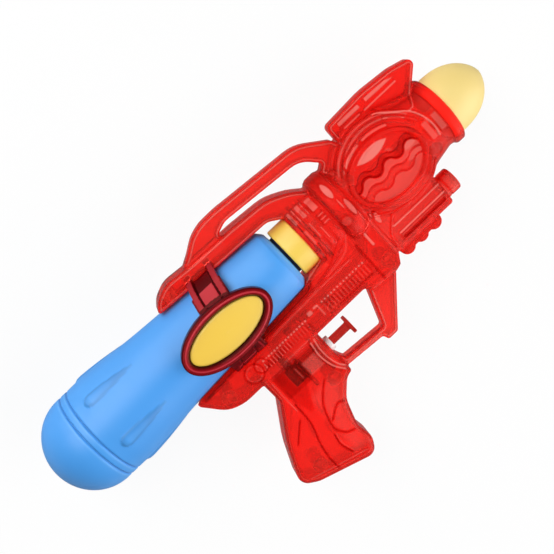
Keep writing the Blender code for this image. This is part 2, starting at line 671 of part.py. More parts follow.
def make_trigger():
    back = PISTON_FRONT - PISTON_T
    groove = (PISTON_FRONT + back) / 2
    half = RING_WIRE + 0.2
    core = PISTON_R - 2 * RING_WIRE - 0.1
    shape = [
        (BAR_X + 1, 0), (BAR_X + 1, STEM_R), (PISTON_FRONT + 0.6, STEM_R), (PISTON_FRONT, PISTON_R),
        (groove + half, PISTON_R), (groove + half, core), (groove - half, core),
        (groove - half, PISTON_R), (back, PISTON_R), (back, ROD_R), (back - 2.5, ROD_R), (back - 2.5, 0),
    ]
    made = spin("trigger", shape, PUMP_U, count=16)
    tall, wide = BAR_TALL / 2, BAR_WIDE / 2
    face = [(-tall, -wide, 1.5), (tall, -wide, 1.5), (tall, wide, 1.5), (-tall, wide, 1.5)]
    rings = []
    for x, inset in ((0.0, 0.4), (0.4, 0.0), (BAR_T - 0.5, 0.0), (BAR_T, 0.5)):
        rings.append([(BAR_X + x, PUMP_U + p.x, p.y) for p in rounded(face, inset)])
    join(made, loft("bar", rings))
    paint(made, RED)
    middle = PISTON_R - RING_WIRE
    ring = []
    for k in range(6):
        t = 2 * math.pi * k / 6
        ring.append((groove + RING_WIRE * math.cos(t), middle + RING_WIRE * math.sin(t)))
    paint(spin("piston_ring", ring, PUMP_U, count=18), RUBBER)


def make_spring():
    """The coil between the end of the pump and the back of the piston."""
    start = PUMP_REAR + PUMP_END + SPRING_WIRE + 0.2
    stop = PISTON_FRONT - PISTON_T - SPRING_WIRE - 0.2
    coil = []
    per_turn = 8
    count = int(SPRING_TURNS * per_turn)
    for k in range(count + 1):
        share = k / count
        t = 2 * math.pi * SPRING_TURNS * share
        x = start + (stop - start) * share
        coil.append(Vector((x, PUMP_U + SPRING_R * math.cos(t), SPRING_R * math.sin(t))))
    paint(sweep("return_spring", coil, SPRING_WIRE), STEEL)
    gap = min(
        (a - b).length for i, a in enumerate(coil) for b in coil[i + per_turn // 2:]
    ) - 2 * SPRING_WIRE
    print(f"return_spring: least gap between its turns {gap:.2f} mm")


def make_valve(name, x, u, w, way):
    """A check valve whose ball sits on a seat and lifts the way the water runs."""
    half = VALVE_BODY / 2
    end = half + VALVE_STUB
    seat = -half + 1.6
    slope = SEAT_DEEP / (CHAMBER_R - SEAT_R)
    rest = seat + (BALL_R + 0.05) * math.hypot(slope, 1.0) - SEAT_R * slope
    rest = max(rest, seat + math.sqrt(BALL_R ** 2 - SEAT_R ** 2) + 0.05)
    stop = rest + BALL_R + LIFT + FIT
    shape = []
    for at, r in (
        (-end, SPIGOT_BORE), (-end, SPIGOT_R), (-half, SPIGOT_R), (-half, VALVE_R), (half, VALVE_R),
        (half, SPIGOT_R), (end, SPIGOT_R), (end, SPIGOT_BORE), (stop, SPIGOT_BORE), (stop, CHAMBER_R),
        (seat + SEAT_DEEP, CHAMBER_R), (seat, SEAT_R), (-half, SEAT_R),
    ):
        shape.append((x + way * at, r))
    paint(spin(f"{name}_valve", shape, u, w, 14), WHITE)
    ball = []
    for k in range(7):
        t = math.pi * k / 6
        ball.append((x + way * rest - BALL_R * math.cos(t), BALL_R * math.sin(t) if 0 < k < 6 else 0))
    paint(spin(f"{name}_ball", ball, u, w, 12), STEEL)


def make_hoses():
    reach = VALVE_BODY / 2 + FIT
    rear, front = INLET_X - reach, INLET_X + reach
    lip = CAP_FRONT + 2 * FIT + WALL + FLANGE_W + FIT
    path = [
        (lip + 2.5, 0, 0), (SPIGOT_TIP, 0, 0), (43, -0.8, 0.5), (48.5, -6, 2), (50, -15, 4),
        (46.5, -25.5, LINE_W), (37, LINE_U, LINE_W), (10, LINE_U, LINE_W), (front, LINE_U, LINE_W),
    ]
    paint(sweep("suction_hose", smooth(path, 2), HOSE_R, HOSE_BORE), CLEAR)
    path = [
        (rear, LINE_U, LINE_W), (rear - 5, LINE_U, LINE_W), (PORT_X + 3.5, LINE_U - 2.0, LINE_W - 0.3),
        (PORT_X, PORT_TOP + 3, PORT_W), (PORT_X, PORT_TOP, PORT_W), (PORT_X, PORT_TOP - 4, PORT_W),
    ]
    paint(sweep("feed_hose", smooth(path, 2), HOSE_R, HOSE_BORE), CLEAR)
    path = [
        (PORT_X, PORT_TOP - 4, -PORT_W), (PORT_X, PORT_TOP, -PORT_W), (PORT_X, PORT_TOP + 3, -PORT_W),
        (PORT_X + 4, LINE_U - 1.6, -LINE_W), (PORT_X + 13, LINE_U, -LINE_W), (10, LINE_U, -LINE_W),
        (38, LINE_U, -LINE_W), (47, -27, -5), (51.5, -16, -5), (58, -8, -4.5), (69, -2, -2.5), (84, 0, 0),
        (OUTLET_X - reach - VALVE_STUB, 0, 0), (OUTLET_X - reach, 0, 0),
    ]
    paint(sweep("delivery_hose", smooth(path, 2), HOSE_R, HOSE_BORE), CLEAR)


def nose_radius(share):
    """Radius of the nozzle's bullet shape at a share of its length."""
    return CONE_R * (1 - share ** 2.5) ** 0.75


def make_cone():
    profile = [(CONE_SEAT_X, CONE_R), (MUZZLE_X + 2, CONE_R)]
    nose = CONE_TIP - MUZZLE_X - 2
    for k in range(1, 8):
        profile.append((MUZZLE_X + 2 + nose * k / 8, nose_radius(k / 8)))
    profile.append((CONE_TIP, JET_R + 1.0))
    profile.append((CONE_TIP, JET_R))
    front = OUTLET_X + VALVE_BODY / 2 + 1
    socket = SPIGOT_R + FIT
    inside = [(CONE_TIP - 5, JET_R), (CONE_TIP - 5, socket), (front, socket), (front, socket + 1.2)]
    inside += [(CONE_TIP - 9, socket + 1.2)]
    for k in range(6, 0, -2):
        inside.append((MUZZLE_X + nose * k / 8, max(nose_radius(k / 8) - CONE_WALL, socket + 1.9)))
    inside += [(MUZZLE_X, CONE_R - CONE_WALL), (CONE_SEAT_X, CONE_R - CONE_WALL)]
    paint(spin("nozzle_cone", profile + inside, count=20), CREAM)


clear_scene()
right = shell()
left = mirror(right, "left_shell")
right.name = "right_shell"
screw_holes(right, 1)
screw_holes(left, -1)
paint(right, RED)
paint(left, RED)
frame_right = bracket()
frame_left = mirror(frame_right, "left_bracket")
frame_right.name = "right_bracket"
plate_right = badge()
plate_left = mirror(plate_right, "left_badge")
plate_right.name = "right_badge"
for one in (frame_right, frame_left):
    paint(one, RED)
for one in (plate_right, plate_left):
    paint(one, YELLOW)
make_cone()
make_bottle()
make_tank_fittings()
make_pump()
make_trigger()
make_spring()
make_valve("inlet", INLET_X, LINE_U, LINE_W, -1)
make_valve("outlet", OUTLET_X, 0.0, 0.0, 1)
make_hoses()
make_screws()
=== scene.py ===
"""Looks of the toy water squirter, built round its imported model.

Lengths are millimetres in the gun's own frame, as in the part's source: x runs forward along the barrel,
u runs up and w runs out of the right side. The red shells, the brackets and other moulded pieces are drawn
as distance fields on a grid, below zero inside, and skinned; turned pieces are lathes, hoses are sweeps.
"""
import cmath
import functools
import itertools
from math import ceil, copysign, cos, hypot, pi, radians, sin, sqrt, tan

import bpy
import numpy as np
from mathutils import Matrix, Vector


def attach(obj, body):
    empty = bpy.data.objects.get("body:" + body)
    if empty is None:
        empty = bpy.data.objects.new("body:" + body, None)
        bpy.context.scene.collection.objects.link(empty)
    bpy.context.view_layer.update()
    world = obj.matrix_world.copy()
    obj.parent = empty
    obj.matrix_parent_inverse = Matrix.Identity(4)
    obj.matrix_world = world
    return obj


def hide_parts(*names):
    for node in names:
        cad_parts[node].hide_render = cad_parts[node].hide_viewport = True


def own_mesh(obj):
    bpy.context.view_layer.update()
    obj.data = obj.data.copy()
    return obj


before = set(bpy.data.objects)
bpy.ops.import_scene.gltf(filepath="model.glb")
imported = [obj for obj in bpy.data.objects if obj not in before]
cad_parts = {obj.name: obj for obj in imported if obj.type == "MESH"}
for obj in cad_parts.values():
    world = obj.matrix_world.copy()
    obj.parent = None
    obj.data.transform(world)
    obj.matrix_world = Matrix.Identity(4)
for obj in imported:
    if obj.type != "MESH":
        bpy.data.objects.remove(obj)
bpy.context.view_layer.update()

MM = 0.001
ORIGIN = np.array((1.25, 37.2778, 32.5))  # the gun's frame in the world
PICTURE = 554.0  # pixels each way

# ---- sizes shared with the part's source
WALL, SEAM, FIT, BOTTLE_ROOM = 2, 0.15, 0.3, 0.8
NECK_TIP, NECK_R, MOUTH_R = 22.4, 12.3, 10.6
SHOULDER_X, SHOULDER_R, FRONT_X, FRONT_R = 12.2, 14, 5.5, 20.9
WAIST_X, WAIST_R, BELLY_X, BELLY_R = -80, 26, -117, 29.2
DOME_X, DOME_LENGTH, BOTTLE_WALL = -137, 27.5, 1.4
GROOVES, GROOVE_W, GROOVE_D = (-134.2, -129.2), 2.6, 1.1
FLUTES, FLUTE_TURN, FLUTE_REAR, FLUTE_FRONT, FLUTE_WIDE, FLUTE_RISE = 6, 42, -122, -89, 8, 1
CAP_REAR, CAP_FRONT, CAP_R, CAP_NECK_R = 12.8, 24.6, 16, 10
SPIGOT_R, SPIGOT_BORE, SPIGOT_TIP, FLANGE_R, FLANGE_W, WASHER_T = 2.2, 1.3, 37, 13, 2.2, 1.2
COLLAR_R, RING_X0, RING_X1, RING_R = 17.5, 44.5, 58.2, 23
MUZZLE_X, MUZZLE_R, NECK_X, THROAT_R = 130.8, 21.6, 121, 19.3
CONE_SEAT_X, CONE_R, CONE_TIP, CONE_WALL, JET_R = 125.2, 18.8, 162, 1.8, 0.9
DRUM_X, DRUM_U, DRUM_A, DRUM_B, DRUM_H = 87, 1, 30, 27.5, 19
DISC_X, DISC_A, DISC_B, DISC_H, DISC_RIM, DISC_SUNK = 84.8, 24.9, 19, 21.6, 2.6, 1.6
KNOB_U, KNOB_R, KNOB_X0, KNOB_X1 = -35, 7.25, 99, 111.6
LOBES, LOBE_X, LOBE_PITCH, LOBE_R, LOBE_U = 3, 65.7, 10.2, 4.85, -44.6
RAIL_H, BAR_H, HANDLE_H, FIN_H, GRIP_H, GUARD_H, LOBE_H, UNDER_H = 12.5, 8, 5, 5, 12, 5, 6, 9.2
OVAL_X, OVAL_A, OVAL_B, OVAL_BACK, OVAL_FACE = -39.3, 30.2, 16.4, 26.6, 32.5
BADGE_A, BADGE_B, BADGE_T, POCKET_FLOOR = 25, 11, 2.8, 28.4
ARM_IN, ARM_T, ARM_X0, ARM_X1, POST_W, ARM_LEAN = 26.6, 3, -45, -24.5, 4, 5
LEDGE_TURN, POST_TURN, WEB_T = (20, 50), (48, 77), 1.2
FOOT_X0, FOOT_X1, FOOT_TURN = -52, -29, (-66, -20)
PUMP_U, PUMP_REAR, PUMP_FRONT, BORE_R, PUMP_R, PUMP_END = -56, -35, -8.4, 4.25, 5.8, 2
GLAND_R, GLAND_FRONT, STEM_R, ROD_R = 4.6, -3, 2.6, 1.6
BAR_X, BAR_T, BAR_TALL, BAR_WIDE = 10, 2.2, 10.6, 9
PISTON_FRONT, PISTON_T, PISTON_R, RING_WIRE = -13, 4, 3.95, 0.7
SPRING_R, SPRING_WIRE, SPRING_TURNS, STROKE = 2.9, 0.35, 6, 10
PORT_X, PORT_W, PORT_TOP = -31, 3.7, -43
HOSE_R, HOSE_BORE, LINE_U, LINE_W = 3.4, 2.75, -31.5, 4.5
INLET_X, OUTLET_X, VALVE_R, VALVE_BODY, VALVE_STUB = -10, 106, 4, 8, 5
BALL_R, SEAT_R, SEAT_DEEP, CHAMBER_R, LIFT = 2, 1.3, 0.8, 2.5, 1.2
SCREWS = ((112, -12, 9.5), (62.8, 11, 9.5), (52, -41, 9), (12, -39.7, 9),
          (-66, -35, 9), (-50, 30.2, 5.2), (-16, -70, 8.5), (-57, -103, 8.5))
HEAD_R, HEAD_T, SHANK_R, SCREW_BITE, BOSS_R = 2.4, 1.7, 1.15, 4.2, 4.3

# Outlines as (x, u, radius), run anticlockwise
RAIL = ((-79.5, -16, 0), (-81.3, -26.5, 3), (-71.6, -39.7, 17), (-62, -43.5, 25), (31, -43.1, 2),
        (33.5, -47.6, 2.5), (51.5, -48.6, 3), (55.5, -47.4, 2), (60, -40, 3), (60, -10, 0),
        (24.4, -10, 0), (24.4, -13.6, 0), (9, -17.4, 0))
GRIP = ((-47.8, -36, 0), (-47.8, -58.2, 6), (-62.9, -81, 40), (-73.4, -104, 12), (-64, -110.6, 14),
        (-29, -122.4, 7), (-23.6, -113, 10), (-25.2, -101.5, 10), (-19.5, -85, 16), (-10.5, -75.6, 12),
        (-5.6, -74.2, 1.5), (-5.8, -36, 0))
UNDER = ((56, -14, 0), (56, -40, 0), (60.5, -43, 1.5), (101.8, -43.4, 2), (102.2, -22, 0),
         (98, -14, 0))
GUARD = ((-8, -72, 0), (20.6, -74.2, 1.5), (22.2, -78.2, 1.5), (29.2, -78.2, 2), (52, -50.5, 2),
         (56, -44, 0), (34, -44, 0), (24.6, -70, 2), (-3, -68, 1), (-5.4, -62.4, 2),
         (-8, -60.6, 0))
FIN = ((75.4, 28.5, 2), (80, 16, 0), (118, 13, 0), (127.2, 21.8, 4), (138.4, 32.6, 3.2),
       (123, 36.6, 20), (103, 38.5, 30), (75.4, 37.2, 3.2))
HANDLE = ((-36, 27.5, 0), (-7, 27.5, 0), (-7, 35.6, 2), (0, 38.4, 12), (52.6, 34, 15),
          (61.2, 24.4, 1.2), (56, 20.6, 0), (62, 14, 0), (78, 20, 0), (73, 30.4, 2),
          (56.4, 42, 24), (0, 46.9, 30), (-11, 46.8, 22), (-19, 44.6, 22), (-28, 38.6, 16),
          (-34.5, 35, 6))
BAR = ((-61.8, 26.4, 1.2), (-20, 23.6, 20), (17, 22.2, 9), (25.5, 16.5, 3), (26, 6, 0),
       (46, 6, 0), (46, 18.6, 0), (37, 25.8, 34), (24.5, 31.9, 30), (0, 33.8, 30),
       (-32, 34.8, 20), (-47.5, 36.2, 16), (-56.5, 32.4, 12))


# ---- outlines and flat distance fields
def rounded(corners):
    """Points of an outline whose corners carry radii."""
    spots = [complex(x, u) for x, u, _ in corners]
    points = []
    for i, (here, corner) in enumerate(zip(spots, corners)):
        before, after = here - spots[i - 1], spots[(i + 1) % len(spots)] - here
        turn = cmath.phase(after / before)
        if not corner[2] or abs(turn) < 0.02:
            points.append(here)
            continue
        bend = tan(abs(turn) / 2)
        reach = min(corner[2] * bend, 0.48 * min(abs(before), abs(after)))
        way = before / abs(before)
        side = 1j * way * copysign(reach / bend, turn)
        steps = max(1, ceil(abs(turn) / radians(9)))
        arc = side * np.exp(1j * np.linspace(0, turn, steps + 1))
        points += list(here - way * reach + side - arc)
    return np.stack((np.real(points), np.imag(points)), 1)


def line_gap(X, U, points, closed=False):
    """Distance from each place of a flat grid to a line through points."""
    points = np.asarray(points, float)
    ends = np.roll(points, -1, 0) if closed else points[1:]
    best = np.full(X.shape, 1e9)
    for (ax, au), (bx, bu) in zip(points, ends):
        ex, eu = bx - ax, bu - au
        t = np.clip(((X - ax) * ex + (U - au) * eu) / max(ex * ex + eu * eu, 1e-12), 0, 1)
        best = np.minimum(best, (X - ax - t * ex) ** 2 + (U - au - t * eu) ** 2)
    return np.sqrt(best)


def outline_gap(X, U, points):
    """Signed distance to a closed outline."""
    inside = np.zeros(X.shape, bool)
    for (ax, au), (bx, bu) in zip(points, np.roll(points, -1, 0)):
        if au != bu:
            crosses = (au > U) != (bu > U)
            inside ^= crosses & (X < (bx - ax) * (U - au) / (bu - au) + ax)
    gap = line_gap(X, U, points, True)
    return np.where(inside, -gap, gap)


def oval_gap(X, U, x, u, a, b):
    """Signed distance to an oval, true near its edge."""
    k0 = np.hypot((X - x) / a, (U - u) / b)
    k1 = np.hypot((X - x) / a ** 2, (U - u) / b ** 2)
    return k0 * (k0 - 1) / np.maximum(k1, 1e-6)


def edge_gap(q0, q1, radius):
    """Distance to an edge rounded by radius, from the distances past the flat parts of its two faces."""
    return np.hypot(np.maximum(q0, 0), np.maximum(q1, 0)) + np.minimum(np.maximum(q0, q1), 0) - radius


def box_gap(X, U, x0, x1, u0, u1, radius=0.0):
    q0 = np.abs(X - (x0 + x1) / 2) - (x1 - x0) / 2 + radius
    q1 = np.abs(U - (u0 + u1) / 2) - (u1 - u0) / 2 + radius
    return edge_gap(q0, q1, radius)


def curve(points, per=8):
    """A smooth line through points."""
    knots = np.asarray(points, float)
    knots = np.vstack((2 * knots[0] - knots[1], knots, 2 * knots[-1] - knots[-2]))
    t = np.arange(per)[:, None] / per
    made = [0.5 * (2 * b + (c - a) * t + (2 * a - 5 * b + 4 * c - d) * t * t
                   + (3 * b - 3 * c + d - a) * t ** 3)
            for a, b, c, d in zip(knots, knots[1:], knots[2:], knots[3:])]
    return np.vstack((*made, knots[-2]))


# ---- solid distance fields
def thick(flat, height, half, edge):
    """A flat field made thick, with its edges rounded. height is the distance from the middle plane."""
    return edge_gap(flat + edge, height - half + edge, edge)


def melt(a, b, k):
    """Both solids, with a fillet of about k where they meet."""
    if not k:
        return np.minimum(a, b)
    h = np.maximum(k - np.abs(a - b), 0) / k
    return np.minimum(a, b) - h * h * k / 4


def both(*fields):
    """The room that solids share."""
    return functools.reduce(np.maximum, fields)


def either(*fields):
    """Solids side by side."""
    return functools.reduce(np.minimum, fields)


def carve(a, b, k=0.0):
    """The first solid without the second."""
    return -melt(-a, b, k)


class Grid:
    """Places at which distance fields are sampled, and the skin over their zero level."""

    def __init__(self, low, high, step):
        self.low, self.step = np.array(low, float), np.broadcast_to(step, 3)
        x, u, w = (np.arange(l, h + s, s, dtype=np.float32) for l, h, s in zip(low, high, self.step))
        self.x, self.u, self.w = x[:, None, None], u[None, :, None], w[None, None, :]
        self.X, self.U = np.meshgrid(x.astype(float), u.astype(float), indexing="ij")

    def tall(self, flat):
        return flat.astype(np.float32)[:, :, None]

    def slab(self, corners, half, edge):
        return thick(self.tall(outline_gap(self.X, self.U, rounded(corners))), np.abs(self.w), half, edge)

    def round(self, u=0.0):
        """Distance from a line along x."""
        return np.hypot(self.u - u, self.w)

    def rod(self, x0, x1, r, u=0.0):
        return both(self.round(u) - r, x0 - self.x, self.x - x1)

    def post(self, x, u, r):
        """A round column across the gun, without ends."""
        return self.tall(np.hypot(self.X - x, self.U - u) - r)

    def spin(self, profile, u=0.0, squash=1.0):
        """A profile of (x, radius) turned about a line along x, and scaled by squash across the gun."""
        fine = 0.1
        away = np.hypot(self.u - u, self.w / squash)
        x = self.x.ravel().astype(float)
        r = np.arange(0, away.max() + 2 * fine, fine)
        loop = np.array(list(profile) + [(a, -b) for a, b in profile[::-1]])
        table = outline_gap(*np.meshgrid(x, r, indexing="ij"), loop).astype(np.float32)
        spot = (away / fine).astype(np.int32)
        share = (away / fine - spot).astype(np.float32)
        row = np.arange(len(x))[:, None, None]
        return table[row, spot] * (1 - share) + table[row, spot + 1] * share

    def read(self, flat, points):
        """A flat map's values at points, taken between its places."""
        at = np.clip((points[:, :2] - self.low[:2]) / self.step[:2], 0, np.array(flat.shape) - 1.001)
        i, j = at.astype(int).T
        s, t = (at % 1).T
        low = (1 - t) * flat[i, j] + t * flat[i, j + 1]
        high = (1 - t) * flat[i + 1, j] + t * flat[i + 1, j + 1]
        return (1 - s) * low + s * high

    def skin(self, field):
        """Points in millimetres and four-sided faces over the field's zero level."""
        inside = field < 0
        corners = list(itertools.product((0, 1), repeat=3))
        total = np.zeros([n - 1 for n in field.shape], np.uint8)
        for corner in corners:
            total += inside[tuple(slice(c, n - 1 + c) for c, n in zip(corner, field.shape))]
        cells = np.argwhere((total > 0) & (total < 8))
        number = np.full(total.shape, -1, np.int64)
        number[tuple(cells.T)] = np.arange(len(cells))
        spot, count = np.zeros((len(cells), 3)), np.zeros(len(cells))
        value = {c: field[tuple((cells + c).T)].astype(float) for c in corners}
        for a, axis in itertools.product(corners, range(3)):
            if not a[axis]:
                b = tuple(v + (i == axis) for i, v in enumerate(a))
                cross = (value[a] < 0) != (value[b] < 0)
                t = np.where(cross, value[a] / np.where(cross, value[a] - value[b], 1.0), 0.0)
                spot += np.where(cross[:, None], np.array(a) + t[:, None] * np.eye(3)[axis], 0.0)
                count += cross
        points = self.low + self.step * (cells + spot / count[:, None])
        faces = []
        for axis in range(3):
            p, q = (i for i in range(3) if i != axis)
            first, second = [slice(1, -1)] * 3, [slice(1, -1)] * 3
            first[axis], second[axis] = slice(0, -1), slice(1, None)
            near = inside[tuple(first)]
            at = np.argwhere(near != inside[tuple(second)])
            ring = []
            for dp, dq in ((0, 0), (1, 0), (1, 1), (0, 1)):
                one = at.copy()
                one[:, p] += dp
                one[:, q] += dq
                ring.append(number[tuple(one.T)])
            ring = np.stack(ring, 1)
            back = near[tuple(at.T)] == (axis == 1)
            ring[back] = ring[back][:, ::-1]
            faces.append(ring)
        return points, np.vstack(faces)


# ---- making pieces
def put(name, data):
    """A new object in the scene."""
    made = bpy.data.objects.new(name, data)
    bpy.context.scene.collection.objects.link(made)
    return made


def piece(name, points, faces, look, cad_node, body="housing"):
    """A mesh piece that stands for a CAD node and rides on a body. Faces are an array or a list."""
    mesh = bpy.data.meshes.new(name)
    points = (np.asarray(points) + ORIGIN) * MM
    mesh.from_pydata(points.tolist(), [], faces.tolist() if isinstance(faces, np.ndarray) else faces)
    mesh.validate()
    mesh.polygons.foreach_set("use_smooth", np.ones(len(mesh.polygons), bool))
    made = put(name, mesh)
    stuff, slot = look
    mesh.materials.append(stuff)
    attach(made, body)
    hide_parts(cad_node)
    return made


def shade(made, tone):
    """Keeps how pale, above zero, or deep, below it, the plastic looks at each point of a piece: mostly
    painted highlight and painted shade.
    """
    value = np.clip(tone, -1, 1).astype(np.float32)
    made.data.attributes.new("tone", "FLOAT", "POINT").data.foreach_set("value", value)


def places(made):
    """A piece's points in the gun's frame, and its normals."""
    mesh = made.data
    spots, ways = np.empty((2, len(mesh.vertices) * 3), np.float32)
    mesh.vertices.foreach_get("co", spots)
    mesh.vertex_normals.foreach_get("vector", ways)
    return spots.reshape(-1, 3) / MM - ORIGIN, ways.reshape(-1, 3)


def mirrored(points, faces):
    """The same skin on the gun's other side."""
    return points * (1, 1, -1), faces[:, ::-1]


def crease(made):
    """Smooth shading that stops at sharp edges."""
    made.data.set_sharp_from_angle(angle=radians(40))


def turns(count):
    """Angles that go round once."""
    return 2 * pi * np.arange(count) / count


def soften(profile, radius, steps=4):
    """Rounds the corners of a closed (x, radius) profile where the sides leave room for it."""
    loop = [np.array(p, float) for p in profile]
    made = []
    for i, here in enumerate(loop):
        last, following = loop[i - 1], loop[(i + 1) % len(loop)]
        a, b = last - here, following - here
        la, lb = np.hypot(*a), np.hypot(*b)
        reach = min(radius, 0.45 * la, 0.45 * lb)
        if here[1] == 0 or reach < 0.02:
            made.append(tuple(here))
            continue
        p, q = here + a / la * reach, here + b / lb * reach
        t = np.linspace(0, 1, steps + 1)[:, None]
        made += [tuple(spot) for spot in (1 - t) ** 2 * p + 2 * t * (1 - t) * here + t * t * q]
    return made


def bands(rows, closed=False):
    """Faces between neighbouring rows of point numbers that run round. A row on the axis repeats one."""
    faces = []
    for a, b in zip(rows, rows[1:] + rows[:1] if closed else rows[1:]):
        for k in range(len(a)):
            face = list(dict.fromkeys((a[k - 1], a[k], b[k], b[k - 1])))
            if len(face) > 2:
                faces.append(face)
    return faces


def outward(points, faces):
    """Turns all faces round if the solid they close is inside out."""
    spots = np.asarray(points, float)
    corners = np.array([(f[0], f[k], f[k + 1]) for f in faces for k in range(1, len(f) - 1)])
    a, b, c = spots[corners].transpose(1, 0, 2)
    return spots, faces if np.sum(a * np.cross(b, c)) > 0 else [f[::-1] for f in faces]


def lathe(profile, u=0.0, w=0.0, count=64):
    """Turns a closed loop of (x, radius), or one whose ends lie on the axis. Returns points and faces.

    A radius may also be an array, one for each angle.
    """
    points, rows, way = [], [], turns(count)
    for x, r in profile:
        size = count if np.any(r) else 1
        rows.append([len(points) + k % size for k in range(count)])
        points += zip([x] * size, u + r * np.cos(way), w + r * np.sin(way))
    return outward(points, bands(rows, profile[0][1] > 0))


def tube(path, radius, bore=0.0, count=18):
    """A rod or tube along a line of points."""
    path = np.asarray(path, float)
    side = np.array((0.0, 0.0, 1.0))
    rings, holes = [], []
    for i, here in enumerate(path):
        way = path[min(i + 1, len(path) - 1)] - path[max(i - 1, 0)]
        way /= np.linalg.norm(way)
        side = side - way * side.dot(way)
        side /= np.linalg.norm(side)
        spokes = np.outer(np.cos(turns(count)), side) + np.outer(np.sin(turns(count)), np.cross(way, side))
        rings.append(here + radius * spokes)
        holes.append(here + bore * spokes)
    points = np.vstack(rings + holes[::-1] if bore else rings)
    rows = np.arange(len(points)).reshape(-1, count).tolist()
    faces = bands(rows, bool(bore))
    return outward(points, faces if bore else [*faces, rows[0][::-1], rows[-1]])


# ---- materials
def feed(tree, socket, value):
    """Gives a socket a value, or another node's output."""
    if isinstance(value, bpy.types.NodeSocket):
        tree.links.new(value, socket)
    else:
        socket.default_value = value


def node(tree, kind, output, **settings):
    """An output of a new node. Settings in lower case are the node's own, and the others are its inputs."""
    made = tree.nodes.new("ShaderNode" + kind)
    for name, value in settings.items():
        if name.islower():
            setattr(made, name, value)
        else:
            feed(tree, made.inputs[name.replace("_", " ")], value)
    return made.outputs[output]


def material(name, slot, colour, other, rough, bump, grain, rear=None, own=None, **sockets):
    """Moulded stuff and its slot: two tones mixed by soft blotches, roughness from noise, and a faint grain.

    Behind x of rear, which is (x, colour), it has that other colour, as painted shade. own is the deep and
    the pale colour that a piece's tone mixes in as painted shade and painted highlight, and the share of
    light that still passes where it is palest.
    """
    made = bpy.data.materials.new(name)
    made.use_nodes = True
    tree = made.node_tree
    shader = tree.nodes["Principled BSDF"]
    for socket, value in sockets.items():
        feed(tree, shader.inputs[socket.replace("_", " ")], value)
    place = node(tree, "TexCoord", "Object")

    def noise(scale, detail):
        return node(tree, "TexNoise", "Fac", Scale=scale, Detail=detail, Vector=place)

    def spread(source, low, high, start=0.0, end=1.0):
        return node(tree, "MapRange", "Result", Value=source, From_Min=low, From_Max=high,
                    To_Min=start, To_Max=end)

    def mix(share, a, b):
        a, b = ((*c, 1.0) if isinstance(c, tuple) else c for c in (a, b))
        return node(tree, "Mix", "Result", data_type="RGBA", Factor=share, A=a, B=b)

    tone = mix(spread(noise(BLOTCH, 3.0), 0.35, 0.65), colour, other)
    if rear:
        line, behind = rear[0] + ORIGIN[0], rear[1]
        x = node(tree, "SeparateXYZ", "X", Vector=place)
        tone = mix(spread(x, (line - 0.3) * MM, (line + 0.3) * MM), behind, tone)
    if own:
        deep, pale, clear = own
        mark = node(tree, "Attribute", "Fac", attribute_name="tone")
        tone = mix(spread(mark, 0.0, -1.0), tone, deep)
        tone = mix(spread(mark, 0.0, 1.0), tone, pale)
        if clear:
            weight = spread(mark, 0.0, 1.0, sockets["Transmission_Weight"], clear)
            feed(tree, shader.inputs["Transmission Weight"], weight)
    feed(tree, shader.inputs["Base Color"], tone)
    feed(tree, shader.inputs["Roughness"], spread(noise(grain / 4, 4.0), 0.0, 1.0, *rough))
    feed(tree, shader.inputs["Normal"],
         node(tree, "Bump", "Normal", Strength=bump, Distance=GRAIN_DEEP, Height=noise(grain, 3.0)))
    return made, slot


BLOTCH, GRAIN_DEEP = 14.0, 0.0002  # blotches to a metre, and metres
RED_SHEEN = (1.0, 0.25, 0.22, 1.0)
RED = material("red_clear_plastic", "red_clear", (1.0, 0.068, 0.049), (0.98, 0.084, 0.061), (0.14, 0.22),
               0.05, 260.0, own=((0.30, 0.002, 0.002), (1.0, 0.38, 0.32), 0.40),
               IOR=1.2, Transmission_Weight=0.84, Specular_Tint=RED_SHEEN)
CRIMSON = material("crimson_plastic", "red_clear", (0.34, 0.006, 0.012), (0.30, 0.005, 0.010), (0.20, 0.28),
                   0.05, 260.0, own=((0.035, 0.001, 0.002), (0.90, 0.075, 0.10), None),
                   IOR=1.32, Transmission_Weight=0.25, Specular_Tint=RED_SHEEN)
BLUE = material("blue_blown_plastic", "blue_bottle", (0.068, 0.350, 0.88), (0.082, 0.375, 0.90), (0.38, 0.48),
                0.12, 500.0, own=((0.004, 0.010, 0.05), (0.20, 0.55, 1.0), None))
YELLOW = material("yellow_plastic", "yellow", (0.95, 0.625, 0.080), (0.96, 0.665, 0.110), (0.34, 0.44),
                  0.08, 400.0)
PALE = material("pale_yellow_plastic", "pale_yellow", (0.94, 0.700, 0.225), (0.95, 0.730, 0.260),
                (0.40, 0.50), 0.08, 400.0)
WHITE = material("white_plastic", "white", (0.93, 0.93, 0.92), (0.90, 0.90, 0.89), (0.30, 0.40), 0.08, 400.0)
MILKY = material("milky_plastic", "white", (0.93, 0.93, 0.92), (0.90, 0.90, 0.89), (0.20, 0.30), 0.05, 400.0,
                 IOR=1.2, Transmission_Weight=0.88)
# painted shade: the pump behind x = -23.5 is painted nearly black
GREY = material("grey_plastic", "grey", (0.80, 0.80, 0.81), (0.86, 0.86, 0.87), (0.10, 0.18), 0.05, 400.0,
                rear=(-23.5, (0.045, 0.045, 0.05)), IOR=1.3, Transmission_Weight=0.8)
RUBBER = material("black_rubber", "rubber", (0.020, 0.020, 0.021), (0.032, 0.032, 0.033), (0.60, 0.75),
                  0.2, 700.0)
VINYL = material("clear_vinyl", "hose_vinyl", (0.94, 0.95, 0.95), (0.97, 0.97, 0.97), (0.04, 0.09),
                 0.05, 300.0, IOR=1.15, Transmission_Weight=0.97)
ZINC = material("dull_zinc", "steel", (0.88, 0.87, 0.86), (0.92, 0.91, 0.90), (0.45, 0.60),
                0.05, 900.0, Metallic=0.25)
STEEL = material("bright_steel", "steel", (0.78, 0.78, 0.79), (0.84, 0.84, 0.85), (0.22, 0.34), 0.05, 900.0,
                 Metallic=1.0)


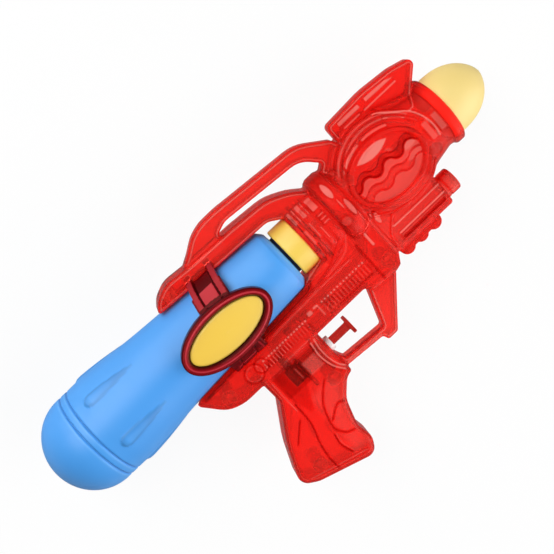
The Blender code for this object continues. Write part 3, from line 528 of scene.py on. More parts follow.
# ---- camera and stage
TILT, ROLL, AWAY, DROP, FOCAL = radians(16.0), radians(43.7), 600.0, -5.8, 1071.4
SENSOR, FLOOR_REACH, FLOOR_DROP, FLOOR_GLOW = 36.0, 3.0, 0.0002, 0.92
LAMPS = (("key", (-0.30, 0.80, 1.10), 0.9, 11.0), ("rim", (-0.10, 1.20, 0.42), 0.8, 6.0),
         ("fill", (0.60, -0.90, 0.60), 1.5, 20.0))  # name, place, size, watts


def make_camera():
    forward = Vector((1, 0, 0))
    up = Vector((0, cos(TILT), -sin(TILT)))
    back = Vector((0, sin(TILT), cos(TILT)))
    right = cos(ROLL) * forward - sin(ROLL) * up
    high = sin(ROLL) * forward + cos(ROLL) * up
    lens = bpy.data.cameras.new("camera")
    lens.sensor_width = SENSOR
    lens.lens = SENSOR * FOCAL / PICTURE
    lens.clip_start, lens.clip_end = 0.01, 30.0
    made = put("camera", lens)
    place = Matrix((right, high, back)).transposed().to_4x4()
    place.translation = (Vector(ORIGIN) + DROP * up + AWAY * back) * MM
    made.matrix_world = place
    bpy.context.scene.camera = made


def by_ray(tree, level, *kinds):
    """A strength that depends on the kind of ray: the last of the kinds, each a name and a value, counts."""
    rays = tree.nodes.new("ShaderNodeLightPath")
    for kind, value in kinds:
        level = node(tree, "Mix", "Result", Factor=rays.outputs[f"Is {kind} Ray"], A=level, B=value)
    return level


def make_stage():
    """A pale floor and surroundings that show white where they are looked at, and three soft lamps."""
    mesh = bpy.data.meshes.new("floor")
    corners = [(x * FLOOR_REACH, y * FLOOR_REACH, 0) for x, y in ((-1, -1), (1, -1), (1, 1), (-1, 1))]
    mesh.from_pydata(corners, [], [(0, 1, 2, 3)])
    floor = put("floor", mesh)
    floor.location.z = -FLOOR_DROP
    stuff = bpy.data.materials.new("floor_white")
    stuff.use_nodes = True
    tree = stuff.node_tree
    shader = tree.nodes["Principled BSDF"]
    for socket, value in (("Base Color", (0.94, 0.94, 0.94, 1.0)), ("Roughness", 0.9),
                          ("Specular IOR Level", 0.0)):
        shader.inputs[socket].default_value = value
    level = by_ray(tree, 1.0, ("Glossy", 0.25), ("Transmission", 1.0))
    mix = tree.nodes.new("ShaderNodeMixShader")
    share = by_ray(tree, 0.0, *((kind, FLOOR_GLOW) for kind in ("Camera", "Glossy", "Transmission")))
    feed(tree, mix.inputs[0], share)
    feed(tree, mix.inputs[1], shader.outputs["BSDF"])
    feed(tree, mix.inputs[2], node(tree, "Emission", "Emission", Strength=level))
    feed(tree, tree.nodes["Material Output"].inputs["Surface"], mix.outputs["Shader"])
    mesh.materials.append(stuff)

    world = bpy.data.worlds.new("surroundings")
    world.use_nodes = True
    bpy.context.scene.world = world
    sky = world.node_tree
    height = node(sky, "SeparateXYZ", "Z", Vector=node(sky, "TexCoord", "Generated"))
    level = node(sky, "MapRange", "Result", Value=height, To_Min=0.021, To_Max=0.092)
    backdrop = sky.nodes["Background"]
    backdrop.inputs["Color"].default_value = (1.0, 1.0, 1.0, 1.0)
    feed(sky, backdrop.inputs["Strength"],
         by_ray(sky, level, ("Glossy", 0.12), ("Transmission", 1.0), ("Camera", 1.0)))

    for name, at, size, power in LAMPS:
        lamp = bpy.data.lights.new(name, "AREA")
        lamp.size, lamp.energy = size, power
        made = put(name, lamp)
        made.location = at
        made.rotation_euler = (-Vector(at)).to_track_quat("-Z", "Y").to_euler()


# ---- the red shells
def bottle_line():
    """(x, radius) of the bottle from its shoulder to its far end, axis to axis."""
    line = [(SHOULDER_X, 0), (SHOULDER_X, SHOULDER_R), (FRONT_X + 3.2, FRONT_R - 1.2), (FRONT_X, FRONT_R),
            (WAIST_X, WAIST_R), (BELLY_X + 17, BELLY_R - 1.2), (BELLY_X, BELLY_R)]
    return line + [(DOME_X - DOME_LENGTH * sin(t), BELLY_R * cos(t)) for t in np.linspace(0, pi / 2, 13)]


# The pattern moulded on the shells' sides, and its painted highlights and painted shade: pale above zero,
# deep below it
BOXES = (  # corner radius, height, soft, pale, boxes as x0, x1, u0, u1
    (1, 0.6, 0.7, 0.4, (112.6, 116.9, -6.2, 6.3), (119.8, 124.2, -5.4, 6.4)),  # behind the muzzle
    (0.8, -0.5, 0.7, 0.85, (81.2, 97.2, 32.4, 35.2)),  # fin
    (0.6, 0.5, 0.6, 0.75, (82.4, 94.8, 29.4, 30.8), (97.2, 121.6, 29, 30.6)),
    (0.6, -0.3, 0.6, -0.6, (67.6, 99, -38.6, -36.8)),  # box under the barrel and its knob
    (1, 0, 2, 0.3, (101.8, 111.4, KNOB_U - 6, KNOB_U + 6)),
    (0.8, 0.6, 0.6, 0.8, (50.2, 52.4, -28, -17.8)),  # ring and collar
    (0.6, 0.6, 0.6, 0.55, (38.2, 43, 10.2, 17.6)),
    (0.5, 0.3, 0.6, 0.6, (26.4, 28.6, 11, 18.4), (29.9, 31, 11, 18.4), (32.2, 35.2, 11, 18.4),
     (36, 37, 11, 18.4)),
    (0.4, 0.6, 0.6, 0.6, (38.2, 43, 1.9, 3.3), (38.2, 43, 4.3, 5.7), (38.2, 43, 6.7, 8.1)),
    (0.5, 0.3, 0.6, 0.45, (27.2, 29, -3, 6.8), (32, 33.4, -1.6, 8.4), (35.4, 36.6, -6, 3)),
    (0.6, 0.3, 0.6, 0.7, (-2.7, 0.8, -32.2, -29.4)),  # rail
    (0.5, 0.3, 0.6, 0.7, (2, 5.4, -30.9, -29.3)),
    (0.4, 0.15, 0.5, 0.6, (4.7, 5.6, -38, -30)),
    (0.5, 0, 0.8, -0.75, (-42.3, -24.4, -60.4, -42.6)),  # grip: painted shade and painted highlights for the pump behind the wall, its rear end painted dark
    (0.5, 0, 0.8, 0.3, (-35.2, -30.6, -58, -46.5), (-24, -14.2, -58.6, -49.2)),
    (0.5, 0, 0.8, -0.4, (-24.4, -12.8, -49, -43.2)),
    # a painted glint along the pump
    (0.5, 0, 0.8, 1.2, (-29, -28, -56.5, -48.2)))
OVALS = (  # x, u, half length, half height, then height, soft, pale: ring and collar
    (51.2, 14.8, 2.2, 4.8, 0.7, 0.7, 0.8), (51.9, 5.6, 0.9, 3.8, 0.6, 0.7, 0.6),
    (54.9, 0.7, 1.8, 6.1, 0.6, 0.7, 0.6), (60.4, -13.25, 0.9, 2.25, 0.6, 0.7, 0.6),
    (62.9, -17.75, 1.8, 4.75, 0.6, 0.7, 0.6))
PATCHES = (  # height, soft, pale, corners
    (-0.5, 0.7, 0.8, (101.2, 32.4), (122.6, 32), (117, 34.5), (101.2, 35.2)),  # fin
    (0, 0.8, -0.6, (-78, -22), (-30, -19.8), (12, -18), (10, -22.2), (-10, -23.4),
     (-50, -25), (-78, -25.6)),  # under the bottle: painted shade
    (0, 1, -0.4, (-42, -60.6), (-29.5, -60.6), (-36.6, -74), (-38.6, -74)),  # below the pump: painted shade
    (0, 7, 0.2, (-34, -68), (-21, -67), (-15, -73), (-23, -86), (-28, -100),
     (-27, -112), (-37, -112), (-35, -92)))  # front of the grip, painted paler
BEADS = (  # half width, height, pale, smooth lines
    # drum, hood and fin
    (0.9, 0.7, 0.3, ((61.5, -15.5), (70, -20.6), (80, -22.8), (90, -22.8), (100, -20.2), (108, -15.5))),
    (1.1, 0.6, 0.9, ((98, 27), (100.8, 25.4), (108.3, 19.2), (113.9, 14.7), (117, 9), (118.4, 2), (118, -6))),
    (0.8, 0.5, 0.4, ((100.5, 22.2), (106, 17.6), (111, 12.6), (113.6, 8.6))),
    (0.8, -0.4, -0.4, ((101, 27.2), (110, 24.4), (119, 21.6))),
    # box under the barrel
    (0.9, 0.6, 0.95, ((67, -28.9), (101, -28.9)), ((67, -34.3), (101, -34.3))),
    (0.9, 0.6, 0.3, ((70.5, -22.5), (69.8, -24.3), (63, -31.7), (61.5, -39))),
    (0.6, -0.35, -0.4, ((104.4, -44), (104.4, -26))),
    # rail, and the back of the grip
    (0.5, 0.1, 0.4, ((-30, -41.6), (-11, -41.6)), ((-24, -25.6), (-5, -24.9), (12, -24.2)),
     ((-43.6, -46), (-44, -57), (-44.2, -68))),
    (0.5, 0, -0.6, ((14, -21), (24, -19), (33, -14.5), (40, -10))),
    (0.5, 0, -0.5, ((12, -18.6), (22, -16.6), (30, -12))),
    (0.5, 0.1, 0.35, ((20, -22.3), (36, -19.5), (43, -12.5))),
    (0.8, -0.6, -0.4, ((43.3, -46), (43.3, -21))),
    (0.6, 0.5, 0.6, ((13, -24.1), (36, -24.1))),
    (0.8, 0.6, -0.1, ((-76, -26), (-50, -25.4), (-10, -23.8), (10, -22.6), (24, -20.4), (38, -15.6))),
    # grip: painted highlight bands beside the trigger, a leaf in painted dark lines, and the foot
    (0.8, 0.4, 0.9, ((-9.4, -43.5), (-10.6, -50.9), (-10.4, -57.3), (-8.9, -63.7), (-6.2, -68.5))),
    (1.2, 0.8, 0.9, ((-12, -43.5), (-13.2, -50.9), (-12.9, -57.3), (-11.2, -63.7), (-7.6, -69.6))),
    (0.8, -0.25, -1, ((-42.5, -64.4), (-43.7, -79.4), (-48, -91.9), (-50, -101.9), (-50.2, -111)),
     ((-21, -65.4), (-30, -74.4), (-34.4, -83.4), (-36, -89.4), (-35.6, -93.4), (-32.5, -98.4),
      (-28, -100.4)), ((-38.7, -94.4), (-40, -101.4), (-38, -109.4)),
     ((-47, -73.4), (-52, -78), (-57.5, -83.4)), ((-33.5, -87), (-27, -82.4), (-23.5, -81.6), (-20.4, -84))),
    (0.5, 0.2, 0.4, ((-37.6, -94.4), (-38.8, -101.4), (-36.8, -109))),
    (0.8, 0.4, 0.5, ((-66, -104.2), (-50, -109.2), (-31, -115))))
# SLOPE_SHADE is the painted shade on the pattern's slopes steeper than SLOPE_FREE
PATTERN_SCALE, PLAIN_TONE, SLOPE_SHADE, SLOPE_FREE = 1.2, 0.05, 0.9, 0.15


def relief(X, U):
    """Height of the moulded pattern over the shell at each (x, u), and how pale or deep it looks there:
    painted highlight above zero, painted shade below.
    """
    rise, tone = np.zeros(X.shape), np.zeros(X.shape)

    def lay(share, height, pale):
        rise[:] += height * share
        tone[:] += pale * share

    def pad(gap, height, soft, pale):
        t = np.clip(0.5 - gap / soft, 0, 1)
        lay(t * t * (3 - 2 * t), height, pale)

    def box(radius, height, soft, pale, *boxes):
        for sides in boxes:
            pad(box_gap(X, U, *sides, radius), height, soft, pale)

    def dot(x, u, r):
        pad(np.hypot(X - x, U - u) - r, 0.3, 0.5, 1.0)

    # raised rims with painted highlights along the edges of the flat parts, where nothing covers them, faces
    # of the box under the barrel, the guard and the handle painted paler, and painted highlight arcs round
    # the drum
    bar, handle, fin, guard, rail, grip, under = (outline_gap(X, U, rounded(corners)) for corners in (
        BAR, HANDLE, FIN, GUARD, RAIL, GRIP, UNDER))
    drum = oval_gap(X, U, DRUM_X, DRUM_U, DRUM_A, DRUM_B)
    for flat, over in ((bar, either(drum, both(25.0 - X, U - 18.0))), (handle, either(bar, drum)),
                       (fin, drum), (guard, either(rail, grip))):
        pad(both(np.abs(flat + 1.5) - 0.45, 1.0 - over), 0.3, 0.6, 0.7)
    for flat, pale in ((under, 0.18), (guard, 0.14), (handle, 0.06)):
        pad(flat + 1.5, 0.0, 2.0, pale)
    for inset in (1.2, 3.4):
        pad(both(np.abs(drum + inset) - 0.4, 14.0 - U), 0.0, 0.6, 0.6)
    # medallion: a lens painted pale as a painted reflection, over three waves with painted dark lines along
    # their edges and painted glints, in a sunk oval, and a band in two pieces round its top with painted
    # highlights
    dish = oval_gap(X, U, DISC_X, DRUM_U, DISC_A - DISC_RIM - 0.6, DISC_B - DISC_RIM - 0.6)
    pad(both(np.hypot(X - 83.0, U + 3.1), np.hypot(X - 83.0, U - 31.1)) - 20.6, 0.5, 0.8, 0.9)
    swing = np.cos(2 * np.pi * (X - 71.0) / 15.2)
    swing = np.sign(swing) * np.abs(swing) ** 0.7
    edges = [u + a * swing for u, a in ((7.2, 1.6), (3.2, 2.1), (-1.8, 1.1), (-6.3, 1.5))]
    for top, low, height, pale in zip(edges, edges[1:], (-0.5, 0.6, 0.25), (-0.3, 0.35, 0.15)):
        pad(both(U - top, low - U, dish), height, 0.7, pale)
    pad(both(U - edges[3], dish), 0.0, 0.7, 0.35)
    for edge in edges:
        pad(both(0.8 * np.abs(U - edge) - 0.25, dish), 0.0, 0.5, -1.2)
    for glint in ((90.0, 6.5, 2.6, 3.0), (101.0, 3.5, 5.5, 2.6), (101.0, -3.2, 6.0, 2.4)):
        pad(both(oval_gap(X, U, *glint), dish), 0.0, 1.2, 0.3)
    ring = oval_gap(X, U, DISC_X, DRUM_U, DISC_A, DISC_B)
    band = both(0.9 - ring, ring - 3.4, 12.0 - U)
    for x0, x1 in ((66.5, 80.8), (82.6, 99.5)):
        pad(both(band, x0 - X, X - x1), 0.8, 0.8, 0.5)
    for row in BOXES:
        box(*row)
    for *oval, height, soft, pale in OVALS:
        pad(oval_gap(X, U, *oval), height, soft, pale)
    for height, soft, pale, *corners in PATCHES:
        pad(outline_gap(X, U, np.array(corners)), height, soft, pale)
    for half, height, pale, *lines in BEADS:
        for line in lines:
            lay(np.maximum(0, 1 - (line_gap(X, U, curve(line)) / half) ** 2), height, pale)
    # frame on the box under the barrel, boss on the ring, and the rail's pivots, combs and rows of dots, with
    # painted highlights and painted shade lines
    pad(np.abs(box_gap(X, U, 67.0, 99.6, -39.2, -36.2, 0.8)) - 0.45, 0.6, 0.5, 0.55)
    boss = np.hypot(X - 48.3, U + 4.2)
    pad(np.abs(boss - 3.3) - 0.3, 0.1, 0.5, -0.7)
    pad(boss - 2.9, 0.0, 0.6, 0.2)
    for x, u, r in ((-46.4, -34.1, 5.7), (-40.3, -33.4, 4.3)):
        boss = np.hypot(X - x, U - u) - r
        pad(np.abs(boss) - 0.35, 0.2, 0.5, -0.9)
        pad(np.abs(boss + 1.1) - 0.3, 0.2, 0.5, 0.4)
    for k in range(16):
        x, strong = -38.6 + 2.15 * k, 1.0 if k < 9 else 0.6
        box(0.3, 0.12, 0.5, 0.5 * strong, (x - 0.5, x + 0.5, -38.0, -33.6))
        box(0.3, 0.0, 0.5, -0.8 * strong, (x + 0.6, x + 1.6, -38.0, -33.6))
        dot(x + 0.6, -32.1, 0.7)
    for k in range(14):
        x = 8.5 + 2.39 * k
        dot(x, -30.5, 0.65)
        box(0.3, 0.12, 0.5, 0.25, (x - 0.45, x + 0.45, -38.0, -32.4))
        box(0.3, 0.0, 0.5, -0.6, (x + 0.75, x + 1.65, -38.0, -32.4))
        box(0.3, 0.0, 0.5, -0.9, (x - 0.8, x + 0.8, -39.8, -38.8))
    # painted shade: the pattern's slopes are painted darker, the steeper the darker
    slope = np.hypot(*np.gradient(rise, X[1, 0] - X[0, 0], U[0, 1] - U[0, 0]))
    return PATTERN_SCALE * rise, tone + PLAIN_TONE - SLOPE_SHADE * np.clip(slope - SLOPE_FREE, 0, 1)


def strap_place(x, u, w, lean):
    """A place's x with the straps' lean taken out, and its angle round the bottle, up from the gun's side."""
    angle = np.arctan2(u, w)
    low, high = radians(LEDGE_TURN[0]), radians(POST_TURN[1])
    return x - lean * (angle - low) / (high - low), angle


def arm_gap(g, x0, x1, turn, grow=0.0, lean=0.0, rise=0.0, thickness=ARM_T):
    """A strap round the bottle between two angles, measured up from the side of the gun."""
    low, high = (radians(t) for t in turn)
    x, angle = strap_place(g.x, g.u, g.w, lean)
    along = np.abs(x - (x0 + x1) / 2) - (x1 - x0) / 2
    middle = ARM_IN + rise + thickness / 2
    across = np.abs(g.round() - middle) - thickness / 2
    about = (np.abs(angle - (low + high) / 2) - (high - low) / 2) * middle
    return both(along, across, about) - grow


def arms(g, grow=0.0):
    """The bracket's straps: a ledge, a web between two posts, and the foot."""
    middle, reach = (ARM_X0 + ARM_X1) / 2, (ARM_X1 - ARM_X0 - POST_W - 2) / 2
    turn = (LEDGE_TURN[1] - 3, POST_TURN[1] - 2)
    made = [arm_gap(g, ARM_X0, ARM_X1, LEDGE_TURN, grow, ARM_LEAN),
            arm_gap(g, ARM_X0 + POST_W, ARM_X1 - POST_W, turn, grow, ARM_LEAN, 0.1, WEB_T - 0.3),
            arm_gap(g, FOOT_X0, FOOT_X1, FOOT_TURN, grow)]
    for at in (middle - reach, middle + reach):
        made.append(arm_gap(g, at - POST_W / 2, at + POST_W / 2, POST_TURN, grow, ARM_LEAN))
    return either(*made)


def collar_line():
    line = [(CAP_FRONT - 0.2, 0), (CAP_FRONT - 0.2, COLLAR_R)]
    for k in range(3):
        x = CAP_FRONT + 2.6 + k * 5.0
        line += [(x, COLLAR_R), (x + 0.7, COLLAR_R - 1.0), (x + 1.7, COLLAR_R)]
    line += [(RING_X0, COLLAR_R), (RING_X0, RING_R - 3), (RING_X0 + 1.6, RING_R - 1), (RING_X0 + 4, RING_R)]
    line += [(RING_X1 - 4, RING_R), (RING_X1 - 1.4, RING_R - 1), (RING_X1, RING_R - 3)]
    return line + [(RING_X1 + 1.2, RING_R - 3.6), (RING_X1 + 4, RING_R - 3), (RING_X1 + 4, 0)]


def shell_field(g, rise):
    """The right shell without its screw holes, its pattern standing out by rise."""
    tall = np.abs(g.w)
    last = LOBE_X + (LOBES - 1) * LOBE_PITCH
    lobes = [g.tall(box_gap(g.X, g.U, LOBE_X, last, LOBE_U - LOBE_R + 2, LOBE_U + 4))]
    lobes += [g.post(LOBE_X + k * LOBE_PITCH, LOBE_U, LOBE_R) for k in range(LOBES)]
    squash = np.interp(g.x, (92.0, 103.0, 111.0, NECK_X), (0.72, 0.80, 0.90, 1.0)).astype(np.float32)
    barrel = [(90.0, 0), (90.0, 25.0), (103.0, 24.1), (111.0, 21.6), (NECK_X, THROAT_R), (NECK_X + 3.0, 19.8),
              (NECK_X + 4.4, MUZZLE_R - 0.3), (NECK_X + 5.4, MUZZLE_R), (MUZZLE_X - 1.0, MUZZLE_R),
              (MUZZLE_X, MUZZLE_R - 1.0), (MUZZLE_X, 0)]
    drum = None
    for inset, high in ((0.0, 12.6), (2.2, 16.2), (4.2, DRUM_H)):
        tier = g.tall(oval_gap(g.X, g.U, DRUM_X, DRUM_U, DRUM_A - inset, DRUM_B - inset))
        tier = thick(tier, tall, high, 1.0)
        drum = tier if drum is None else melt(drum, tier, 0.8)
    knob = [(KNOB_X0, 0), (KNOB_X0, KNOB_R), (KNOB_X1 - 1.2, KNOB_R), (KNOB_X1 - 0.3, KNOB_R - 0.4),
            (KNOB_X1, KNOB_R - 1.4), (KNOB_X1, 0)]
    handle = melt(g.slab(BAR, BAR_H, 2.0), g.slab(HANDLE, HANDLE_H, 1.4), 1.5)
    form = g.slab(RAIL, RAIL_H, 2.0)
    for part, fillet in ((g.slab(GRIP, GRIP_H, 4.5), 2.5), (g.slab(GUARD, GUARD_H, 1.2), 1.5),
                         (g.slab(UNDER, UNDER_H, 2.0), 1.5), (thick(either(*lobes), tall, LOBE_H, 0.9), 1.0),
                         (handle, 0), (g.spin(collar_line()), 1.2), (g.spin(barrel, squash=squash), 2.0),
                         (drum, 1.2), (g.slab(FIN, FIN_H, 1.2), 1.5), (g.spin(knob, KNOB_U), 0.8)):
        form = melt(form, part, fillet)
    hollow = form + WALL
    disc = g.tall(oval_gap(g.X, g.U, DISC_X, DRUM_U, DISC_A, DISC_B))
    form = melt(form, thick(disc, tall, DISC_H, 1.2), 0.8)
    dish = g.tall(oval_gap(g.X, g.U, DISC_X, DRUM_U, DISC_A - DISC_RIM, DISC_B - DISC_RIM))
    form = carve(form, both(dish, DISC_H - DISC_SUNK - g.w), 0.8)
    form = form - g.tall(rise)

    bottle = g.spin(bottle_line())
    hollow = carve(hollow, bottle - BOTTLE_ROOM - WALL)
    seat, lip = CAP_FRONT + FIT, CAP_FRONT + FIT + WALL + FIT
    stop = lip + FLANGE_W + FIT
    for x0, x1, r in ((CAP_REAR, seat + WALL, COLLAR_R + 1), (stop, stop + 1.6, COLLAR_R + 1.7)):
        hollow = carve(hollow, g.rod(x0, x1, r))
    for x, u, _ in SCREWS:
        hollow = carve(hollow, g.post(x, u, BOSS_R))
    for x in (PUMP_FRONT - 4.5, PUMP_REAR + 9):
        hollow = carve(hollow, g.tall(box_gap(g.X, g.U, x, x + 1.6, PUMP_U - 10, PUMP_U + 9)))
    made = carve(carve(form, hollow), bottle - BOTTLE_ROOM)
    for x0, x1, r, u in ((0.0, seat, CAP_R + FIT, 0.0), (seat - 1, lip + 1, CAP_NECK_R + FIT, 0.0),
                         (lip, SPIGOT_TIP, HOSE_R + FIT, 0.0),
                         (CONE_SEAT_X - FIT, MUZZLE_X + 5, CONE_R + FIT, 0.0),
                         (PUMP_REAR - 2, PUMP_FRONT, PUMP_R + FIT, PUMP_U),
                         (PUMP_FRONT - 3, 0.0, GLAND_R + FIT, PUMP_U)):
        made = carve(made, g.rod(x0, x1, r, u))
    made = carve(made, arms(g, FIT))
    return both(made, SEAM - g.w)


def make_shells():
    step = ((0.45, 0.45, 0.7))
    g = Grid((-83.0, -124.0, -1.2), (140.0, 48.6, 23.6), step)
    rise, tone = relief(g.X, g.U)
    right = shell_field(g, rise)
    left = right
    for x, u, seat in SCREWS:
        right = carve(right, both(g.post(x, u, SHANK_R + FIT), g.w - SCREW_BITE - 1))
        left = carve(left, g.post(x, u, SHANK_R + FIT))
        left = carve(left, both(g.post(x, u, HEAD_R + FIT), seat - g.w))
    for name, skin in (("right", g.skin(right)), ("left", mirrored(*g.skin(left)))):
        made = piece(f"shell_{name}", *skin, RED, f"{name}_shell")
        spots, ways = places(made)
        (x, u, w), out = spots.T, ways[:, 2]
        outer = np.clip(2 * out * np.sign(w), 0, 1)
        steep_shade = np.clip((0.75 - np.abs(out)) / 0.5, 0, 1)
        # painted light: the ledge beside the cap and the inner faces round the screw bosses are painted pale
        # where shade would fall; the outer faces carry the pattern's painted highlights and shade, and steep
        # faces painted shade
        boss = np.min([np.hypot(x - at, u - high) for at, high, _ in SCREWS], axis=0)
        ledge = (np.abs(x - 17) < 8.5) & (np.abs(u + 15.4) < 3.2) & (outer < 0.5)
        inner = ledge | (boss < 4.5) & (outer == 0)
        shade(made, np.where(inner, 0.8, outer * g.read(tone, spots) - 0.5 * steep_shade))


def make_brackets():
    g = Grid((-71.0, -28.0, 0.0), (-7.5, 31.5, 33.2), 0.5)
    tall = np.abs(g.w - (OVAL_BACK + OVAL_FACE) / 2)
    rim = g.tall(oval_gap(g.X, g.U, OVAL_X, 0.0, OVAL_A, OVAL_B))
    made = thick(rim, tall, (OVAL_FACE - OVAL_BACK) / 2, 1.2)
    made = melt(made, arms(g), 0.6)
    hole = oval_gap(g.X, g.U, OVAL_X, 0.0, BADGE_A + FIT, BADGE_B + FIT)
    flare = np.maximum(g.w - POCKET_FLOOR - 2.2, 0) * 0.75
    made = carve(made, both(g.tall(hole) - flare, POCKET_FLOOR - g.w), 0.4)
    made = carve(made, both(np.abs(rim + 1.6) - 0.35, OVAL_FACE - 0.5 - g.w), 0.3)
    middle = (ARM_X0 + ARM_X1) / 2
    along, _ = strap_place(g.x, g.u, g.w, ARM_LEAN)
    slot = both(np.abs(np.abs(along - middle) - 5.2) - 0.4, ARM_IN + ARM_T - 0.9 - g.round(), 0.3 - rim)
    made = carve(made, slot, 0.3)
    skin = g.skin(made)
    for name, sided in (("right", skin), ("left", mirrored(*skin))):
        made = piece(f"bracket_{name}", *sided, CRIMSON, f"{name}_bracket")
        x, u, w = places(made)[0].T
        # painted light and shade: painted shade in the gap round the badge and a painted highlight along the
        # bezel's ridge; on the straps a pale ledge, a painted dark web with painted shade along the window's
        # sides and pale posts; the foot darker, with two pale lines
        edge = oval_gap(x, u, OVAL_X, 0.0, OVAL_A, OVAL_B)
        bezel = np.interp(edge, (-5.4, -4.4, -3.6, -3.0, -2.6, -2.1, -1.7, -1.2, -0.3),
                          (-1.0, -0.9, -0.2, 0.0, 0.8, 0.8, -0.2, -0.1, -0.9))
        foot = np.where((np.abs(u + 23.4) < 0.5) & (np.abs(x + 42.5) < 6.5), 0.3, -0.6)
        foot = np.where(np.abs(x + 31.5) < 0.6, 0.2, foot)
        along, angle = strap_place(x, u, np.abs(w), ARM_LEAN)
        off, web = np.abs(along - middle), np.where(angle < radians(LEDGE_TURN[1]), 0.6, -0.7)
        strap = np.select((off < 4.7, off < 5.9, off < 9.3), (web, -0.9, 0.3), -0.6)
        shade(made, np.where(edge < 0.4, bezel, np.where(u < 0, foot, strap)))


def make_badges():
    """Plain domed ovals."""
    floor, count = POCKET_FLOOR + FIT, 96
    steps = [(0.5, 0.0), (0.0, 0.4), (0.0, BADGE_T - 1.5), (0.25, BADGE_T - 1.15), (0.8, BADGE_T - 0.85)]
    for k in range(1, 9):
        steps.append((0.8 + 10.1 * (k / 8) ** 1.2, BADGE_T - 0.85 + 0.8 * sin(pi / 2 * k / 8)))
    points = []
    for inset, high in steps:
        a, b = BADGE_A - inset * (1 + (BADGE_A / BADGE_B - 1) * inset / BADGE_B), BADGE_B - inset
        points += [(OVAL_X + a * cos(t), b * sin(t), floor + high) for t in turns(count)]
    rows = np.arange(len(points)).reshape(-1, count).tolist()
    rows.append([len(points)] * count)
    points.append((OVAL_X, 0.0, floor + BADGE_T))
    points, faces = outward(points, [rows[0][::-1], *bands(rows)])
    piece("badge_right", points, faces, YELLOW, "right_badge")
    piece("badge_left", points * (1, 1, -1), [f[::-1] for f in faces], YELLOW, "left_badge")


# ---- bottle and fittings
def make_bottle():
    """Blown bottle with a soft shoulder, two grooves and six drop-shaped ribs, open at its mouth."""
    knots = [(NECK_TIP, NECK_R), (CAP_REAR + 1.2, NECK_R), (CAP_REAR + 0.6, NECK_R),
             (SHOULDER_X - 1.0, NECK_R), (SHOULDER_X - 1.2, SHOULDER_R), (SHOULDER_X - 1.4, SHOULDER_R + 2.6),
             (SHOULDER_X - 1.9, FRONT_R - 3.4), (FRONT_X + 2.4, FRONT_R - 0.6),
             (FRONT_X + 1.2, FRONT_R - 0.1), (FRONT_X - 4.0, FRONT_R + 0.25)]
    body = curve([knots[-1], (-40.0, 23.7), (WAIST_X, WAIST_R), (BELLY_X + 17, BELLY_R - 1.3),
                  (BELLY_X, BELLY_R), (-126.0, BELLY_R), (DOME_X, BELLY_R)], 18)[1:]
    fine = np.stack((body[:-1], (body[:-1] + body[1:]) / 2), 1).reshape(-1, 2)
    quarter = np.linspace(0, pi / 2, 24)
    dome = np.stack((DOME_X - DOME_LENGTH * np.sin(quarter), BELLY_R * np.cos(quarter)), 1)
    line = np.vstack((knots, fine, dome))
    for x in GROOVES:
        line[:, 1] -= GROOVE_D * np.exp(-((line[:, 0] - x) / (GROOVE_W * 0.2)) ** 2)
    count, outer, painted_lines = 192, [], []
    for x, r in line[:-1]:
        swell = np.zeros(count)
        if FLUTE_REAR - 1 < x < FLUTE_FRONT:
            t = (x - FLUTE_REAR) / (FLUTE_FRONT - FLUTE_REAR)
            half = FLUTE_WIDE / 2 * np.interp(t, (-0.03, 0.0, 0.05, 0.13, 0.45, 0.8, 1.0),
                                              (0.02, 0.45, 0.85, 1.0, 0.85, 0.5, 0.15))
            high = FLUTE_RISE * np.interp(t, (-0.03, 0.04, 0.12, 0.5, 1.0), (0, 0.8, 1.0, 0.85, 0.1))
            for k in range(FLUTES):
                off = turns(count) - radians(FLUTE_TURN) - 2 * pi * k / FLUTES
                off = np.abs((off + pi) % (2 * pi) - pi) * r / half
                swell += high * np.clip(1 - off ** 4, 0, 1)
        # painted shade at each groove's bottom with a painted highlight just behind it, and painted shade
        # along the ribs' edges
        share, off = swell / FLUTE_RISE, x - np.array(GROOVES)
        groove = 0.3 * np.exp(-((off + 1.3) / 0.7) ** 2) - 0.35 * np.exp(-(off / 0.5) ** 2)
        painted_lines.append(groove.sum() - share * (1 - share))
        outer.append((x, r + swell))
    inner = [(NECK_TIP, MOUTH_R), (SHOULDER_X - 2.0, MOUTH_R), (SHOULDER_X - 2.6, MOUTH_R + 1.5)]
    for x, r in line[8:-24:4]:
        inner.append((x - (1.6 if x > FRONT_X else 0.0), max(r - BOTTLE_WALL, MOUTH_R + 1.5)))
    inner += [(x + BOTTLE_WALL, r * (1 - BOTTLE_WALL / BELLY_R)) for x, r in dome[:-1:3]]
    end = DOME_X - DOME_LENGTH
    loop = [(end + BOTTLE_WALL, 0), *inner[::-1], *outer, (end, 0)]
    made = piece("bottle", *lathe(loop, count=count), BLUE, "tank_bottle", "tank")

    # painted light and shade: painted shade lines in the grooves and along the ribs' edges, a painted dark
    # line and a painted highlight line on the shoulder, and the gap between shoulder and cap painted dark as
    # its shadow
    x, u, w = places(made)[0].T
    tone = np.interp(x, (7.6, 8.4, 9.0, 9.8, 10.6, 11.0), (0.0, -0.25, 0.1, 0.8, 0.3, 0.0))
    tone[-1 - len(painted_lines) * count:-1] += np.concatenate(painted_lines)
    gap = (x > SHOULDER_X - 1.3) & (x < CAP_REAR + 1.0)
    shade(made, np.where(gap, np.clip((np.hypot(u, w) - NECK_R) / 1.5 - 1, -1, 0), tone))


